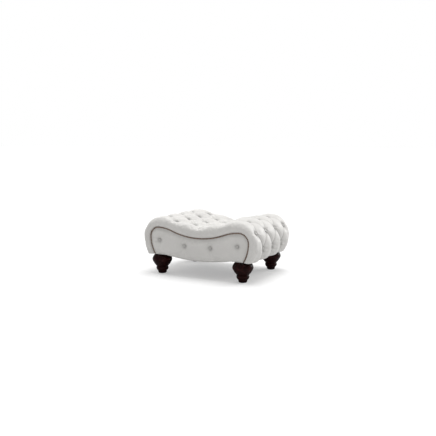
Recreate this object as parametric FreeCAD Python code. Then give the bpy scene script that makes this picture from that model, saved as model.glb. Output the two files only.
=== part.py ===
"""Deep-buttoned footstool with a saddle seat, on four turned feet. All sizes are in millimetres.

X runs along the stool, Y across it with the front facing at -Y, and Z is up. The origin is on the floor
under the middle of the seat. The nail line on the facing is the curve that everything follows: a piece
above or below it is placed by its lift, the distance from that curve along the outward normal.
"""

import FreeCAD, Part
import math
import os

Vector = FreeCAD.Vector

# Nail line, right half seen from the front; the left half mirrors it
NAIL_LOW_Z = 273.0
NAIL_HIGH_Z = 330.0
CREST_X = 311.0
CROWN_R = 300.0
SHOULDER_R = 65.0
FLANK_R = 235.0
BODY_BOTTOM_Z = 140.0

# Clearances
SOFT_GAP = 0.3
BORE_GAP = 0.2
TIE_GAP = 0.8
JOIN_GAP = 0.01

# Timber frame
OUTER_BUTTON_TO_PANEL = 23.0
PANEL_THICKNESS = 18.0
PANEL_MARGIN = 14.0
BELLY_HALF = 250.0
BELLY_DROP = 23.0
RAIL_THICKNESS = 22.0
RAIL_WIDTH = 55.0
END_RAIL_BELOW_TIES = 31.0
STRETCHER_WIDTH = 70.0
STRETCHER_HEIGHT = 25.0
BLOCK_LENGTH = 100.0
BLOCK_CHAMFER = 55.0
BLOCK_HEIGHT = 40.0

# Deck under the stuffing
STRAP_WIDTH = 50.0
STRAP_THICKNESS = 1.7
HESSIAN_THICKNESS = 1.3
DECK_EDGE = 2.0

# Stuffed and buttoned cover
SEAT_LIFT = 40.0
COVER_LEAST_THICKNESS = 6.0
PILLOW_RISE = 32.0
TUFT_PITCH = 105.0
ROWS_EACH_SIDE = 5
BUTTON_PITCH = 154.0
BUTTON_SEAT_HALF = 11.0
PLEAT_HALF = 3.0
COVER_ENDS_ABOVE_BOTTOM = 0.3

# Plain border between the cover and the nail line
NAIL_SEAT_DEPTH = 10.0
BORDER_LIP = 6.0
BORDER_BULGE = 18.0
BORDER_BULGE_LIFT = 34.0
BORDER_TOP_INSET = 10.0

# Facings
FACING_CROWN = 14.0
FACING_FLAT = 6.0
FACING_ROLL = 30.0
FACING_HEM = 3.0
FACING_BOTTOM_ROLL = 12.0
FACING_BUTTON_PITCH = 199.5
FACING_OUTER_BUTTON_Z = 243.6
FACING_INNER_BUTTON_Z = 215.6
DIMPLE_R = 26.0
DIMPLE_DEPTH = 9.0

# Nail trim
TRIM_WIDTH = 11.0
TRIM_THICKNESS = 3.0

# Buttons and their ties
BUTTON_R = 10.0
BUTTON_TOP_R = 6.5
BUTTON_RIM = 2.5
BUTTON_HEIGHT = 6.0
BUTTON_STANDS_OFF = 7.0
TIE_WIDTH = 3.4
KNOT_WIDTH = 9.0
KNOT_LENGTH = 7.0

# Turned feet: radii and heights from the floor up
FOOT_X = 315.0
FOOT_BEHIND_FACE = 37.5
GLIDE_R = 25.0
GLIDE_THICKNESS = 4.0
FOOT_TOE_R = 29.0
FOOT_TOE_TOP_R = 31.5
FOOT_TOE_TOP_Z = 19.0
BEAD_R = 43.0
BEAD_EDGE_R = 38.5
BEAD_BOTTOM_Z = 25.0
BEAD_TOP_Z = 50.0
NECK_R = 43.0
NECK_Z = 53.0
BULB_LOW_R = 62.0
BULB_LOW_Z = 79.0
BULB_R = 70.0
BULB_Z = 97.0
BULB_HIGH_R = 61.0
BULB_HIGH_Z = 123.0
FOOT_TOP_R = 46.0

# Hanger bolts, washers and nuts that hold the feet
BOLT_R = 4.0
BOLT_IN_FOOT = 35.0
BOLT_ABOVE_NUT = 4.0
WASHER_R = 12.0
WASHER_THICKNESS = 1.6
NUT_R = 7.5
NUT_HEIGHT = 6.5

# Dust cover
DUST_THICKNESS = 1.2
DUST_INSET = 4.0
DUST_FOOT_GAP = 2.0

# Shape of the buttoning, by thirds of the way from one row of buttons to the next
THIRDS = 3
PLEAT_SHARES = [0.0, 0.33, 0.33, 0.0]
CROWN_SHARES = [1.0, 0.93, 0.70, 0.03]
NOTCH_SHARES = [0.0, 0.72, 0.92, 1.0]
# How high the border stands beside each row of buttons, from the middle outwards
BORDER_SHARES = [0.38, 1.24, 0.62, 0.86, 0.40, 0.60]
# How much of their rise the pillows have at each row; they are drawn tighter over the shoulder
CROWN_ROW_SHARES = [1.0, 1.0, 1.0, 0.92, 0.74, 0.92]
# The border's roll at each row: under 1 it is squarer than an ellipse
ROLL_ROW_SHARES = [0.65, 0.65, 0.70, 0.90, 1.0, 1.0]
# The same for the plain stretch below the last row: how far down it, pleats, crowns, border top
LOW_DOWN_SHARES = [0.33, 0.66]
LOW_PLEAT_SHARES = [0.20, 0.18, 0.10]
LOW_CROWN_SHARES = [0.95, 0.90, 0.66]
LOW_BORDER_SHARES = [0.56, 0.49, 0.40]
LOW_SEAT_SHARES = [0.5, 0.0, 0.0]
# How far along a facing's rolled edge it has how much of its crown
ROLL_REACH_SHARE = 0.33
ROLL_CROWN_SHARE = 0.6

PILLOW_STEPS = 4
BORDER_STEPS = 3
BUTTON_SIDES = 8
DIMPLE_SIDES = 12
BELLY_STEPS = 8
BEAD_STEPS = 3
BULB_STEPS = 4
BOLT_SIDES = 8
NUT_SIDES = 6
WASHER_SIDES = 8
GLIDE_SIDES = 16
FOOT_SIDES = 24

# What follows from those sizes
half_pitch = BUTTON_PITCH / 2
dip_depth = NAIL_HIGH_Z - NAIL_LOW_Z
dip_r = (CREST_X**2 + dip_depth**2) / (2 * dip_depth) - CROWN_R
dip_sweep = math.asin(CREST_X / (dip_r + CROWN_R))
shoulder_z = NAIL_HIGH_Z - SHOULDER_R
flank_x = CREST_X + SHOULDER_R - FLANK_R
quarter = math.pi / 2
strap_lift = PANEL_MARGIN + SOFT_GAP
# a straight layer from one station to the next dips inside the tightest arc by this
step_share = TUFT_PITCH / THIRDS / (SHOULDER_R + SEAT_LIFT)
station_sag = (SHOULDER_R + strap_lift) * step_share**2 / 8
hessian_lift = strap_lift + STRAP_THICKNESS + SOFT_GAP + station_sag
foam_lift = hessian_lift + HESSIAN_THICKNESS + SOFT_GAP
cover_under_lift = SEAT_LIFT - COVER_LEAST_THICKNESS
foam_top_lift = cover_under_lift - SOFT_GAP
rail_under_lift = PANEL_MARGIN - RAIL_THICKNESS
panel_back_y = 3 * half_pitch + OUTER_BUTTON_TO_PANEL
panel_face_y = panel_back_y + PANEL_THICKNESS
foot_y = panel_face_y - FOOT_BEHIND_FACE
nail_seat_y = panel_face_y + NAIL_SEAT_DEPTH
soft_back_y = panel_face_y + SOFT_GAP
deck_half = panel_face_y - DECK_EDGE
cover_bottom_z = BODY_BOTTOM_Z + COVER_ENDS_ABOVE_BOTTOM
block_top_z = BODY_BOTTOM_Z + BLOCK_HEIGHT
belly_r = (BELLY_HALF**2 + BELLY_DROP**2) / (2 * BELLY_DROP)

# The nail line as tangent arcs: centre, radius, bend (1 bulges outwards, -1 is hollow) and the angle of the
# outward normal from upright at its two ends; the last arc ends at whatever height it is cut
ARCS = [
    (0.0, NAIL_LOW_Z + dip_r, dip_r, -1, 0.0, -dip_sweep),
    (CREST_X, NAIL_HIGH_Z - CROWN_R, CROWN_R, 1, -dip_sweep, 0.0),
    (CREST_X, shoulder_z, SHOULDER_R, 1, 0.0, quarter),
    (flank_x, shoulder_z, FLANK_R, 1, quarter, 2 * quarter),
]


def arc_point(arc, angle, lift):
    """The point (x, z) of an arc's curve at an angle of the normal, lifted off it."""
    centre_x, centre_z, radius, bend = arc[:4]
    reach = bend * (radius + bend * lift)
    return centre_x + reach * math.sin(angle), centre_z + reach * math.cos(angle)


def station(distance):
    """The arc and the angle at a distance from the middle, measured along the line of button seats."""
    left = abs(distance)
    for arc in ARCS:
        radius, bend, start, end = arc[2:]
        seat_r = radius + bend * SEAT_LIFT
        length = abs(end - start) * seat_r
        if left <= length or arc is ARCS[-1]:
            return arc, start + math.copysign(left / seat_r, end - start)
        left -= length


def side_of(distance):
    """The side of the middle that a distance lies on, as 1 or -1."""
    return math.copysign(1, distance)


def lifted(distance, y, lift):
    """A point at a distance from the middle along the seat line, at y across, lifted off the nail line."""
    arc, angle = station(distance)
    x, z = arc_point(arc, angle, lift)
    return Vector(side_of(distance) * x, y, z)


def normal_at(distance):
    """The outward normal at a distance from the middle."""
    angle = station(distance)[1]
    return Vector(side_of(distance) * math.sin(angle), 0, math.cos(angle))


def bottom_angle(lift, z):
    """The normal's angle where the flank, lifted, comes down to a height."""
    return math.acos((z - shoulder_z) / (FLANK_R + lift))


def bottom_x(lift, z):
    """How far out the flank, lifted, comes down to a height."""
    return arc_point(ARCS[-1], bottom_angle(lift, z), lift)[0]


def half_curve(lift, begin, end, bottom_z):
    """Edges of the lifted curve on the right, from begin to end along the seat line, or down to a height."""
    edges = []
    passed = 0
    for arc in ARCS:
        radius, bend, start, stop = arc[2:]
        seat_r = radius + bend * SEAT_LIFT
        turn = math.copysign(1, stop - start)
        length = abs(stop - start) * seat_r
        low = max(begin, passed)
        high = min(end, passed + length)
        passed += length
        if high <= low:
            continue
        a = start + turn * (low - passed + length) / seat_r
        b = start + turn * (high - passed + length) / seat_r
        if arc is ARCS[-1] and end == math.inf:
            b = bottom_angle(lift, bottom_z)
        if arc is ARCS[-1] and begin == -math.inf:
            a = bottom_angle(lift, bottom_z)
        places = [arc_point(arc, angle, lift) for angle in (a, (a + b) / 2, b)]
        edges.append([Vector(x, 0, z) for x, z in places])
    return edges


def curve(lift, begin, end, bottom_z=BODY_BOTTOM_Z):
    """Arcs of the lifted curve from begin to end, as start, middle and end points in order."""
    right = half_curve(lift, max(begin, 0), end, bottom_z) if end > 0 else []
    left = half_curve(lift, max(-end, 0), -begin, bottom_z) if begin < 0 else []
    mirrored = [[Vector(-p.x, 0, p.z) for p in reversed(arc)] for arc in reversed(left)]
    return mirrored + right


def wire_of(pieces):
    """One closed wire of arcs, given by three points, and of straight lines between their ends."""
    edges = []
    for i, arc in enumerate(pieces):
        edges.append(Part.Arc(*arc).toShape() if len(arc) == 3 else Part.makeLine(*arc))
        gap = pieces[(i + 1) % len(pieces)][0] - arc[-1]
        if gap.Length > JOIN_GAP:
            edges.append(Part.makeLine(arc[-1], pieces[(i + 1) % len(pieces)][0]))
    return Part.Wire(Part.__sortEdges__(edges))


def slab(wire, y0, y1):
    """A flat shape in the XZ plane made solid from y0 to y1."""
    face = Part.Face(wire)
    face.translate(Vector(0, y0, 0))
    return face.extrude(Vector(0, y1 - y0, 0))


def band(low_lift, high_lift, begin, end, y0, y1):
    """A strip of the curve between two lifts, from begin to end, made solid from y0 to y1."""
    outer = curve(high_lift, begin, end)
    inner = [list(reversed(arc)) for arc in reversed(curve(low_lift, begin, end))]
    return slab(wire_of(outer + inner), y0, y1)


def strip_reach(distance, width, lift):
    """How far a strip of this real width runs along the seat line at a place and lift."""
    radius, bend = station(distance)[0][2:4]
    return width * (radius + bend * SEAT_LIFT) / (radius + bend * lift)


def gored(rings):
    """A closed solid of flat gores through rings of points, folded along the diagonal that bulges more."""
    faces = [Part.Face(Part.makePolygon(ring + ring[:1])) for ring in (rings[0], rings[-1])]
    middle = sum((p for ring in rings for p in ring), Vector()) / sum(len(ring) for ring in rings)
    for near, far in zip(rings, rings[1:]):
        for i in range(len(near)):
            a, b, c, d = near[i - 1], near[i], far[i], far[i - 1]
            out = (a + b + c + d) / 4 - middle
            across = ((a + c) - (b + d)).dot(out) >= 0
            folds = ((a, b, c), (a, c, d)) if across else ((a, b, d), (b, c, d))
            faces += [Part.Face(Part.makePolygon(list(fold) + [fold[0]])) for fold in folds]
    shell = Part.Shell(faces)
    shell.sewShape()
    solid = Part.Solid(shell)
    return solid if solid.Volume > 0 else Part.Solid(shell.reversed())


def rod(x, y, z0, z1, radius, sides):
    """An upright rod with flat sides, for small hidden parts."""
    return gored(rings_along(Vector(x, y, z0), Vector(0, 0, 1), [(0, radius), (z1 - z0, radius)], sides))


def arc_steps(a, b, sag, steps):
    """Points from a towards b, each (y, lift), on a shallow arc that rises by sag in its middle."""
    points = []
    for k in range(steps):
        share = k / steps
        rise = 4 * sag * share * (1 - share)
        points.append((a[0] + (b[0] - a[0]) * share, a[1] + (b[1] - a[1]) * share + rise))
    return points


def valley_places(share, seat_half):
    """Where the six pleats lie across the stool, at a share of the way from an even row to an odd one."""
    even = [3 * half_pitch, half_pitch + seat_half, half_pitch - seat_half]
    odd = [2 * half_pitch + seat_half, 2 * half_pitch - seat_half, seat_half]
    right = [e + (o - e) * share for e, o in zip(even, odd)]
    return [-y for y in right] + right[::-1]


def cover_section(share, pleat, even_crown, odd_crown, border_top, roll, seat_half):
    """The cover's closed outline across the stool as (y, lift) points, from the front lip to the back."""
    valley_lift = SEAT_LIFT + PILLOW_RISE * pleat
    top = (panel_face_y - BORDER_TOP_INSET, SEAT_LIFT + PILLOW_RISE * border_top)
    lip = (nail_seat_y, BORDER_LIP)
    bulge = (nail_seat_y + BORDER_BULGE, BORDER_BULGE_LIFT)
    # the roll turns about a centre below its top and behind its bulge
    side = [(soft_back_y, SOFT_GAP), (nail_seat_y, SOFT_GAP)]
    for k in range(BORDER_STEPS):
        turn = quarter * k / BORDER_STEPS
        out = lip[0] + (bulge[0] - lip[0]) * math.sin(turn)
        side.append((out, lip[1] + (bulge[1] - lip[1]) * (1 - math.cos(turn))))
    for k in range(BORDER_STEPS):
        turn = quarter * k / BORDER_STEPS
        out = top[0] + (bulge[0] - top[0]) * math.cos(turn) ** roll
        side.append((out, bulge[1] + (top[1] - bulge[1]) * math.sin(turn) ** roll))
    knots = [(-top[0], top[1])]
    knots += [(y, valley_lift) for y in valley_places(share, seat_half)]
    knots += [(top[0], top[1])]
    middle = []
    for i, (a, b) in enumerate(zip(knots, knots[1:])):
        crown = SEAT_LIFT + PILLOW_RISE * (even_crown if i % 2 else odd_crown)
        middle += arc_steps(a, b, max(crown - (a[1] + b[1]) / 2, 0), PILLOW_STEPS)
    under = [(soft_back_y, cover_under_lift), (-soft_back_y, cover_under_lift)]
    return [(-y, h) for y, h in side] + middle + [knots[-1]] + side[::-1] + under


def between_rows(shares, k):
    """The value at step k of a table that has one for each row."""
    beside = shares[k // THIRDS:k // THIRDS + 2]
    return beside[0] + (beside[-1] - beside[0]) * (k % THIRDS) / THIRDS


def cover_stations():
    """Every station of the cover, left to right: (distance or None at the bottom edge, section values)."""
    right = []
    for k in range(ROWS_EACH_SIDE * THIRDS + 1):
        step = k % (2 * THIRDS)
        step = min(step, 2 * THIRDS - step)
        beside = BORDER_SHARES[k // THIRDS:k // THIRDS + 2]
        notch, peak = (beside[0], beside[-1]) if k // THIRDS % 2 == 0 else (beside[-1], beside[0])
        full = between_rows(CROWN_ROW_SHARES, k)
        values = (
            step / THIRDS,
            PLEAT_SHARES[step],
            CROWN_SHARES[step] * full,
            CROWN_SHARES[THIRDS - step] * full,
            notch + (peak - notch) * NOTCH_SHARES[step],
            between_rows(ROLL_ROW_SHARES, k),
            BUTTON_SEAT_HALF,
        )
        right.append((k * TUFT_PITCH / THIRDS, values))
    last_row = ROWS_EACH_SIDE * TUFT_PITCH
    arc_start = sum(abs(a[5] - a[4]) * (a[2] + a[3] * SEAT_LIFT) for a in ARCS[:-1])
    hem = arc_start + (bottom_angle(SEAT_LIFT, cover_bottom_z) - quarter) * (FLANK_R + SEAT_LIFT)
    low_shares = zip(LOW_PLEAT_SHARES, LOW_CROWN_SHARES, LOW_BORDER_SHARES, LOW_SEAT_SHARES)
    odd_last = ROWS_EACH_SIDE % 2
    for i, (pleat, crown, border, seat) in enumerate(low_shares):
        seat_half = PLEAT_HALF + (BUTTON_SEAT_HALF - PLEAT_HALF) * seat
        crowns = (pleat, crown) if odd_last else (crown, pleat)
        down = last_row + (hem - last_row) * LOW_DOWN_SHARES[i] if i < len(LOW_DOWN_SHARES) else None
        right.append((down, (odd_last, pleat, *crowns, border, ROLL_ROW_SHARES[-1], seat_half)))
    left = [(None if d is None else -d, values) for d, values in right[:0:-1]]
    return [(d, values, -1) for d, values in left] + [(d, values, 1) for d, values in right]


def station_point(distance, side, y, lift):
    """A point of a station; a station with no distance lies flat at the bottom edge."""
    if distance is None:
        return Vector(side * bottom_x(lift, cover_bottom_z), y, cover_bottom_z)
    return lifted(distance, y, lift)


def button_places():
    """Every button of the cover as (distance along the seat line, y), row by row."""
    places = []
    for row in range(-ROWS_EACH_SIDE, ROWS_EACH_SIDE + 1):
        shares = (-2, 0, 2) if row % 2 else (-3, -1, 1, 3)
        places += [(row * TUFT_PITCH, share * half_pitch) for share in shares]
    return places


def rings_along(base, axis, profile, sides, phase=0.0):
    """Rings of points about an axis from base, one for each (height, radius) of the profile."""
    across = axis.cross(Vector(0, 1, 0)) if abs(axis.y) < 0.5 else axis.cross(Vector(1, 0, 0))
    across.normalize()
    other = axis.cross(across)
    rings = []
    for height, radius in profile:
        ring = []
        for k in range(sides):
            angle = 2 * math.pi * (k + phase) / sides
            ring.append(base + axis * height + (across * math.cos(angle) + other * math.sin(angle)) * radius)
        rings.append(ring)
    return rings


def square_bar(base, axis, profile):
    """A bar of square section along an axis, one (height, width) for each of its stations."""
    corners = [(height, math.hypot(width, width) / 2) for height, width in profile]
    return gored(rings_along(base, axis, corners, 4, 0.5))


def button(base, axis):
    """A covered button with its back at base."""
    profile = [(0, BUTTON_R), (BUTTON_RIM, BUTTON_R), (BUTTON_HEIGHT, BUTTON_TOP_R)]
    return gored(rings_along(base, axis, profile, BUTTON_SIDES))


def save(name, *solids):
    """Writes one node from its solids."""
    shape = solids[0] if len(solids) == 1 else Part.makeCompound(list(solids))
    shape.exportStep(f"parts/{name}.step")


def belly_places():
    """Points (x, drop) along the bellied bottom edge of a facing, from its right end to its left."""
    places = []
    for k in range(BELLY_STEPS + 1):
        x = BELLY_HALF - 2 * BELLY_HALF * k / BELLY_STEPS
        places.append((x, BELLY_DROP - belly_r + math.sqrt(belly_r**2 - x**2)))
    return places


def shaped_panel(y0, y1):
    """A plywood panel sawn to the saddle outline, with a belly between the feet."""
    places = ((BELLY_HALF, 0), (0, BELLY_DROP), (-BELLY_HALF, 0))
    belly = [Vector(x, 0, BODY_BOTTOM_Z - drop) for x, drop in places]
    return slab(wire_of(curve(PANEL_MARGIN, -math.inf, math.inf) + [belly]), y0, y1)


def frame_rail(distance):
    """A cross rail sawn to the curve, between the panels."""
    reach = strip_reach(distance, RAIL_WIDTH, PANEL_MARGIN) / 2
    low, high = distance - reach, distance + reach
    return band(rail_under_lift, PANEL_MARGIN, low, high, -panel_back_y, panel_back_y)


def end_rail(side):
    """The bottom rail at one end, from below the last row's ties down to the frame's underside."""
    last_row = ROWS_EACH_SIDE * TUFT_PITCH
    begin = last_row + strip_reach(last_row, END_RAIL_BELOW_TIES, PANEL_MARGIN)
    ends = (begin, math.inf) if side > 0 else (-math.inf, -begin)
    return band(rail_under_lift, PANEL_MARGIN, *ends, -panel_back_y, panel_back_y)


def corner_block(side_x, side_y):
    """A block in a corner of the frame, its inner corner sawn off, bored for the bolt."""
    wall_x = bottom_x(rail_under_lift, block_top_z)
    back_x = bottom_x(rail_under_lift, BODY_BOTTOM_Z) - BLOCK_LENGTH
    wall_y = panel_back_y
    back_y = panel_back_y - BLOCK_LENGTH
    corners = [
        (wall_x, wall_y),
        (wall_x, back_y),
        (back_x + BLOCK_CHAMFER, back_y),
        (back_x, back_y + BLOCK_CHAMFER),
        (back_x, wall_y),
    ]
    points = [Vector(side_x * x, side_y * y, BODY_BOTTOM_Z) for x, y in corners]
    block = Part.Face(Part.makePolygon(points + points[:1])).extrude(Vector(0, 0, BLOCK_HEIGHT))
    inside = slab(wire_of(curve(rail_under_lift, -math.inf, math.inf)), -panel_face_y, panel_face_y)
    bore_r = BOLT_R + BORE_GAP
    bore = rod(side_x * FOOT_X, side_y * foot_y, 0, block_top_z + BLOCK_HEIGHT, bore_r, BOLT_SIDES)
    return block.common(inside).cut(bore)


def arc_profile(low, middle, high, steps):
    """Points on the arc through three (radius, height) places, without its first."""
    arc = Part.Arc(*[Vector(r, 0, z) for r, z in (low, middle, high)])
    return [(p.x, p.z) for p in arc.toShape().discretize(steps + 1)[1:]]


def turned_foot(x, y):
    """A foot turned from one billet: toe, bead, flared neck, bulb and a flat top, bored for its bolt."""
    outline = [(FOOT_TOE_R, GLIDE_THICKNESS), (FOOT_TOE_TOP_R, FOOT_TOE_TOP_Z)]
    bead_middle = (BEAD_R, (BEAD_BOTTOM_Z + BEAD_TOP_Z) / 2)
    outline += [(BEAD_EDGE_R, BEAD_BOTTOM_Z)]
    outline += arc_profile((BEAD_EDGE_R, BEAD_BOTTOM_Z), bead_middle, (BEAD_EDGE_R, BEAD_TOP_Z), BEAD_STEPS)
    outline += [(NECK_R, NECK_Z), (BULB_LOW_R, BULB_LOW_Z)]
    bulb_ends = ((BULB_LOW_R, BULB_LOW_Z), (BULB_HIGH_R, BULB_HIGH_Z))
    outline += arc_profile(bulb_ends[0], (BULB_R, BULB_Z), bulb_ends[1], BULB_STEPS)
    outline += [(FOOT_TOP_R, BODY_BOTTOM_Z)]
    profile = [(height, radius) for radius, height in outline]
    foot = gored(rings_along(Vector(x, y, 0), Vector(0, 0, 1), profile, FOOT_SIDES))
    socket_z = BODY_BOTTOM_Z - BOLT_IN_FOOT - BORE_GAP
    return foot.cut(rod(x, y, socket_z, BODY_BOTTOM_Z + BOLT_IN_FOOT, BOLT_R + BORE_GAP, BOLT_SIDES))


def bored_disc(x, y, z0, z1, radius, sides):
    """A washer, or a nut where it has six sides, on a bolt."""
    disc = rod(x, y, z0, z1, radius, sides)
    return disc.cut(rod(x, y, z0 - BLOCK_HEIGHT, z1 + BLOCK_HEIGHT, BOLT_R + BORE_GAP, BOLT_SIDES))


def station_slab(low_lift, high_lift, y0, y1):
    """A layer between two lifts and from y0 to y1, straight from each station to the next."""
    stations = cover_stations()
    outer = [station_point(d, side, 0, high_lift) for d, _, side in stations]
    inner = [station_point(d, side, 0, low_lift) for d, _, side in reversed(stations)]
    return slab(Part.makePolygon(outer + inner + outer[:1]), y0, y1)


def tufted_cover():
    """The cover with its wadding: diamond pillows between pleats, and a rolled border down to the nails."""
    rings = []
    for distance, values, side in cover_stations():
        rings.append([station_point(distance, side, y, lift) for y, lift in cover_section(*values)])
    return gored(rings)


def facing_pad(side_y):
    """A padded facing inside the nail line, crowned, bellied below, with a dimple at each button."""
    front = [(-SOFT_GAP, soft_back_y, 0), (-SOFT_GAP, nail_seat_y, 0)]
    for share, crown_share in ((0, 0), (ROLL_REACH_SHARE, ROLL_CROWN_SHARE), (1, 1)):
        lift = -FACING_FLAT - FACING_ROLL * share
        up = FACING_HEM + FACING_BOTTOM_ROLL * share
        front.append((lift, nail_seat_y + FACING_CROWN * crown_share, up))
    rings = []
    for lift, y, up in front:
        ring = []
        for distance, _, side in cover_stations():
            if distance is None:
                z = cover_bottom_z + up
                ring.append(Vector(side * bottom_x(lift, z), side_y * y, z))
            else:
                ring.append(lifted(distance, side_y * y, lift))
        ring += [Vector(x, side_y * y, cover_bottom_z + up - drop) for x, drop in belly_places()]
        rings.append(ring)
    pad = gored(rings)
    face_y = nail_seat_y + FACING_CROWN
    for x, z in facing_button_places():
        dimple = [(-DIMPLE_DEPTH, BUTTON_R + BORE_GAP), (0, DIMPLE_R), (DIMPLE_DEPTH, DIMPLE_R)]
        axis = Vector(0, side_y, 0)
        pad = pad.cut(gored(rings_along(Vector(x, side_y * face_y, z), axis, dimple, DIMPLE_SIDES)))
    return pad


def facing_button_places():
    """The four buttons of a facing as (x, z)."""
    inner = FACING_BUTTON_PITCH / 2
    outer = inner + FACING_BUTTON_PITCH
    heights = ((outer, FACING_OUTER_BUTTON_Z), (inner, FACING_INNER_BUTTON_Z))
    return [(side * x, z) for x, z in heights for side in (-1, 1)]


def dust_cover():
    """A sheet under the frame, between the panels, its corners cut back round the feet."""
    reach_x = bottom_x(PANEL_MARGIN, BODY_BOTTOM_Z) - DUST_INSET
    reach_y = panel_back_y - SOFT_GAP
    clear = FOOT_TOP_R + DUST_FOOT_GAP
    notch_x = FOOT_X - clear
    notch_y = foot_y - clear
    quarter_turn = [(reach_x, notch_y), (notch_x, notch_y), (notch_x, reach_y)]
    around = quarter_turn + [(-x, y) for x, y in quarter_turn[::-1]]
    around += [(-x, -y) for x, y in around]
    top_z = BODY_BOTTOM_Z - SOFT_GAP
    points = [Vector(x, y, top_z - DUST_THICKNESS) for x, y in around]
    return Part.Face(Part.makePolygon(points + points[:1])).extrude(Vector(0, 0, DUST_THICKNESS))


def build_frame():
    """Panels, rails, stretcher and corner blocks."""
    save("front_panel", shaped_panel(-panel_face_y, -panel_back_y))
    save("back_panel", shaped_panel(panel_back_y, panel_face_y))
    # rails stand under the straps, midway between two rows of buttons
    for name, row in (("dip_rail", 0), ("crest_rail", 2), ("scroll_rail", 4)):
        distance = (row + row + 1) * TUFT_PITCH / 2
        save(f"left_{name}", frame_rail(-distance))
        save(f"right_{name}", frame_rail(distance))
    save("left_end_rail", end_rail(-1))
    save("right_end_rail", end_rail(1))
    corner = Vector(-STRETCHER_WIDTH / 2, -panel_back_y, BODY_BOTTOM_Z)
    save("bottom_stretcher", Part.makeBox(STRETCHER_WIDTH, 2 * panel_back_y, STRETCHER_HEIGHT, corner))
    for name_x, side_x in (("left", -1), ("right", 1)):
        for name_y, side_y in (("front", -1), ("back", 1)):
            save(f"{name_y}_{name_x}_corner_block", corner_block(side_x, side_y))


def build_feet():
    """Feet with their glides, bolts, washers and nuts."""
    for name_x, side_x in (("left", -1), ("right", 1)):
        for name_y, side_y in (("front", -1), ("back", 1)):
            save(f"{name_y}_{name_x}_foot", turned_foot(side_x * FOOT_X, side_y * foot_y))
    places = [(side_x * FOOT_X, side_y * foot_y) for side_x in (-1, 1) for side_y in (-1, 1)]
    save("foot_glides", *[rod(x, y, 0, GLIDE_THICKNESS, GLIDE_R, GLIDE_SIDES) for x, y in places])
    foot_z = BODY_BOTTOM_Z - BOLT_IN_FOOT
    washer_z = block_top_z + WASHER_THICKNESS
    nut_z = washer_z + NUT_HEIGHT
    save("hanger_bolts", *[rod(x, y, foot_z, nut_z + BOLT_ABOVE_NUT, BOLT_R, BOLT_SIDES) for x, y in places])
    washers = [bored_disc(x, y, block_top_z, washer_z, WASHER_R, WASHER_SIDES) for x, y in places]
    save("bolt_washers", *washers)
    save("bolt_nuts", *[bored_disc(x, y, washer_z, nut_z, NUT_R, NUT_SIDES) for x, y in places])


def build_deck():
    """Webbing straps, hessian and foam, all open for the ties."""
    straps = []
    for k in range(-ROWS_EACH_SIDE - 1, ROWS_EACH_SIDE + 1):
        distance = (k + k + 1) * TUFT_PITCH / 2
        reach = strip_reach(distance, STRAP_WIDTH, strap_lift) / 2
        high_lift = strap_lift + STRAP_THICKNESS
        straps.append(band(strap_lift, high_lift, distance - reach, distance + reach, -deck_half, deck_half))
    save("webbing_straps", *straps)
    hessian = station_slab(hessian_lift, hessian_lift + HESSIAN_THICKNESS, -deck_half, deck_half)
    foam = station_slab(foam_lift, foam_top_lift, -panel_face_y, panel_face_y)
    cover = tufted_cover()
    holes = []
    ties = []
    buttons = []
    knot_lift = hessian_lift - SOFT_GAP
    stand_lift = SEAT_LIFT + BUTTON_STANDS_OFF
    for distance, y in button_places():
        seat = lifted(distance, y, 0)
        axis = normal_at(distance)
        hole_width = TIE_WIDTH + 2 * TIE_GAP
        holes.append(square_bar(seat, axis, [(strap_lift, hole_width), (stand_lift, hole_width)]))
        tie = [(knot_lift - KNOT_LENGTH, KNOT_WIDTH), (knot_lift, TIE_WIDTH), (stand_lift, TIE_WIDTH)]
        ties.append(square_bar(seat, axis, tie))
        buttons.append(button(seat + axis * stand_lift, axis))
    save("deck_hessian", hessian.cut(holes))
    save("seat_foam", foam.cut(holes))
    save("tufted_cover", cover.cut(holes))
    save("tuft_ties", *ties)
    save("tuft_buttons", *buttons)


def build_facings():
    """Facing pads, their buttons and the nail trim, front and back."""
    for name, side_y in (("front", -1), ("back", 1)):
        save(f"{name}_facing_pad", facing_pad(side_y))
        back_y = side_y * (nail_seat_y + FACING_CROWN - DIMPLE_DEPTH + SOFT_GAP)
        axis = Vector(0, side_y, 0)
        buttons = [button(Vector(x, back_y, z), axis) for x, z in facing_button_places()]
        save(f"{name}_facing_buttons", *buttons)
        trim_y = nail_seat_y + SOFT_GAP
        across = (side_y * trim_y, side_y * (trim_y + TRIM_THICKNESS))
        save(f"{name}_nail_trim", station_slab(-TRIM_WIDTH / 2, TRIM_WIDTH / 2, *across))


os.makedirs("parts", exist_ok=True)
build_frame()
build_feet()
build_deck()
build_facings()
save("dust_cover", dust_cover())
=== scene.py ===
"""Looks of a footstool with a diamond-tufted saddle seat, buttoned facings, nail trim and turned feet.

The panel's sizes are in metres. The shape functions work in millimetres, as the construction does, and
`to_mesh` turns them into metres. A place on the padding is given by its distance along the line of button
seats, by y across the stool and by its lift off the nail line, along that line's outward normal.
"""

import math

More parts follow.
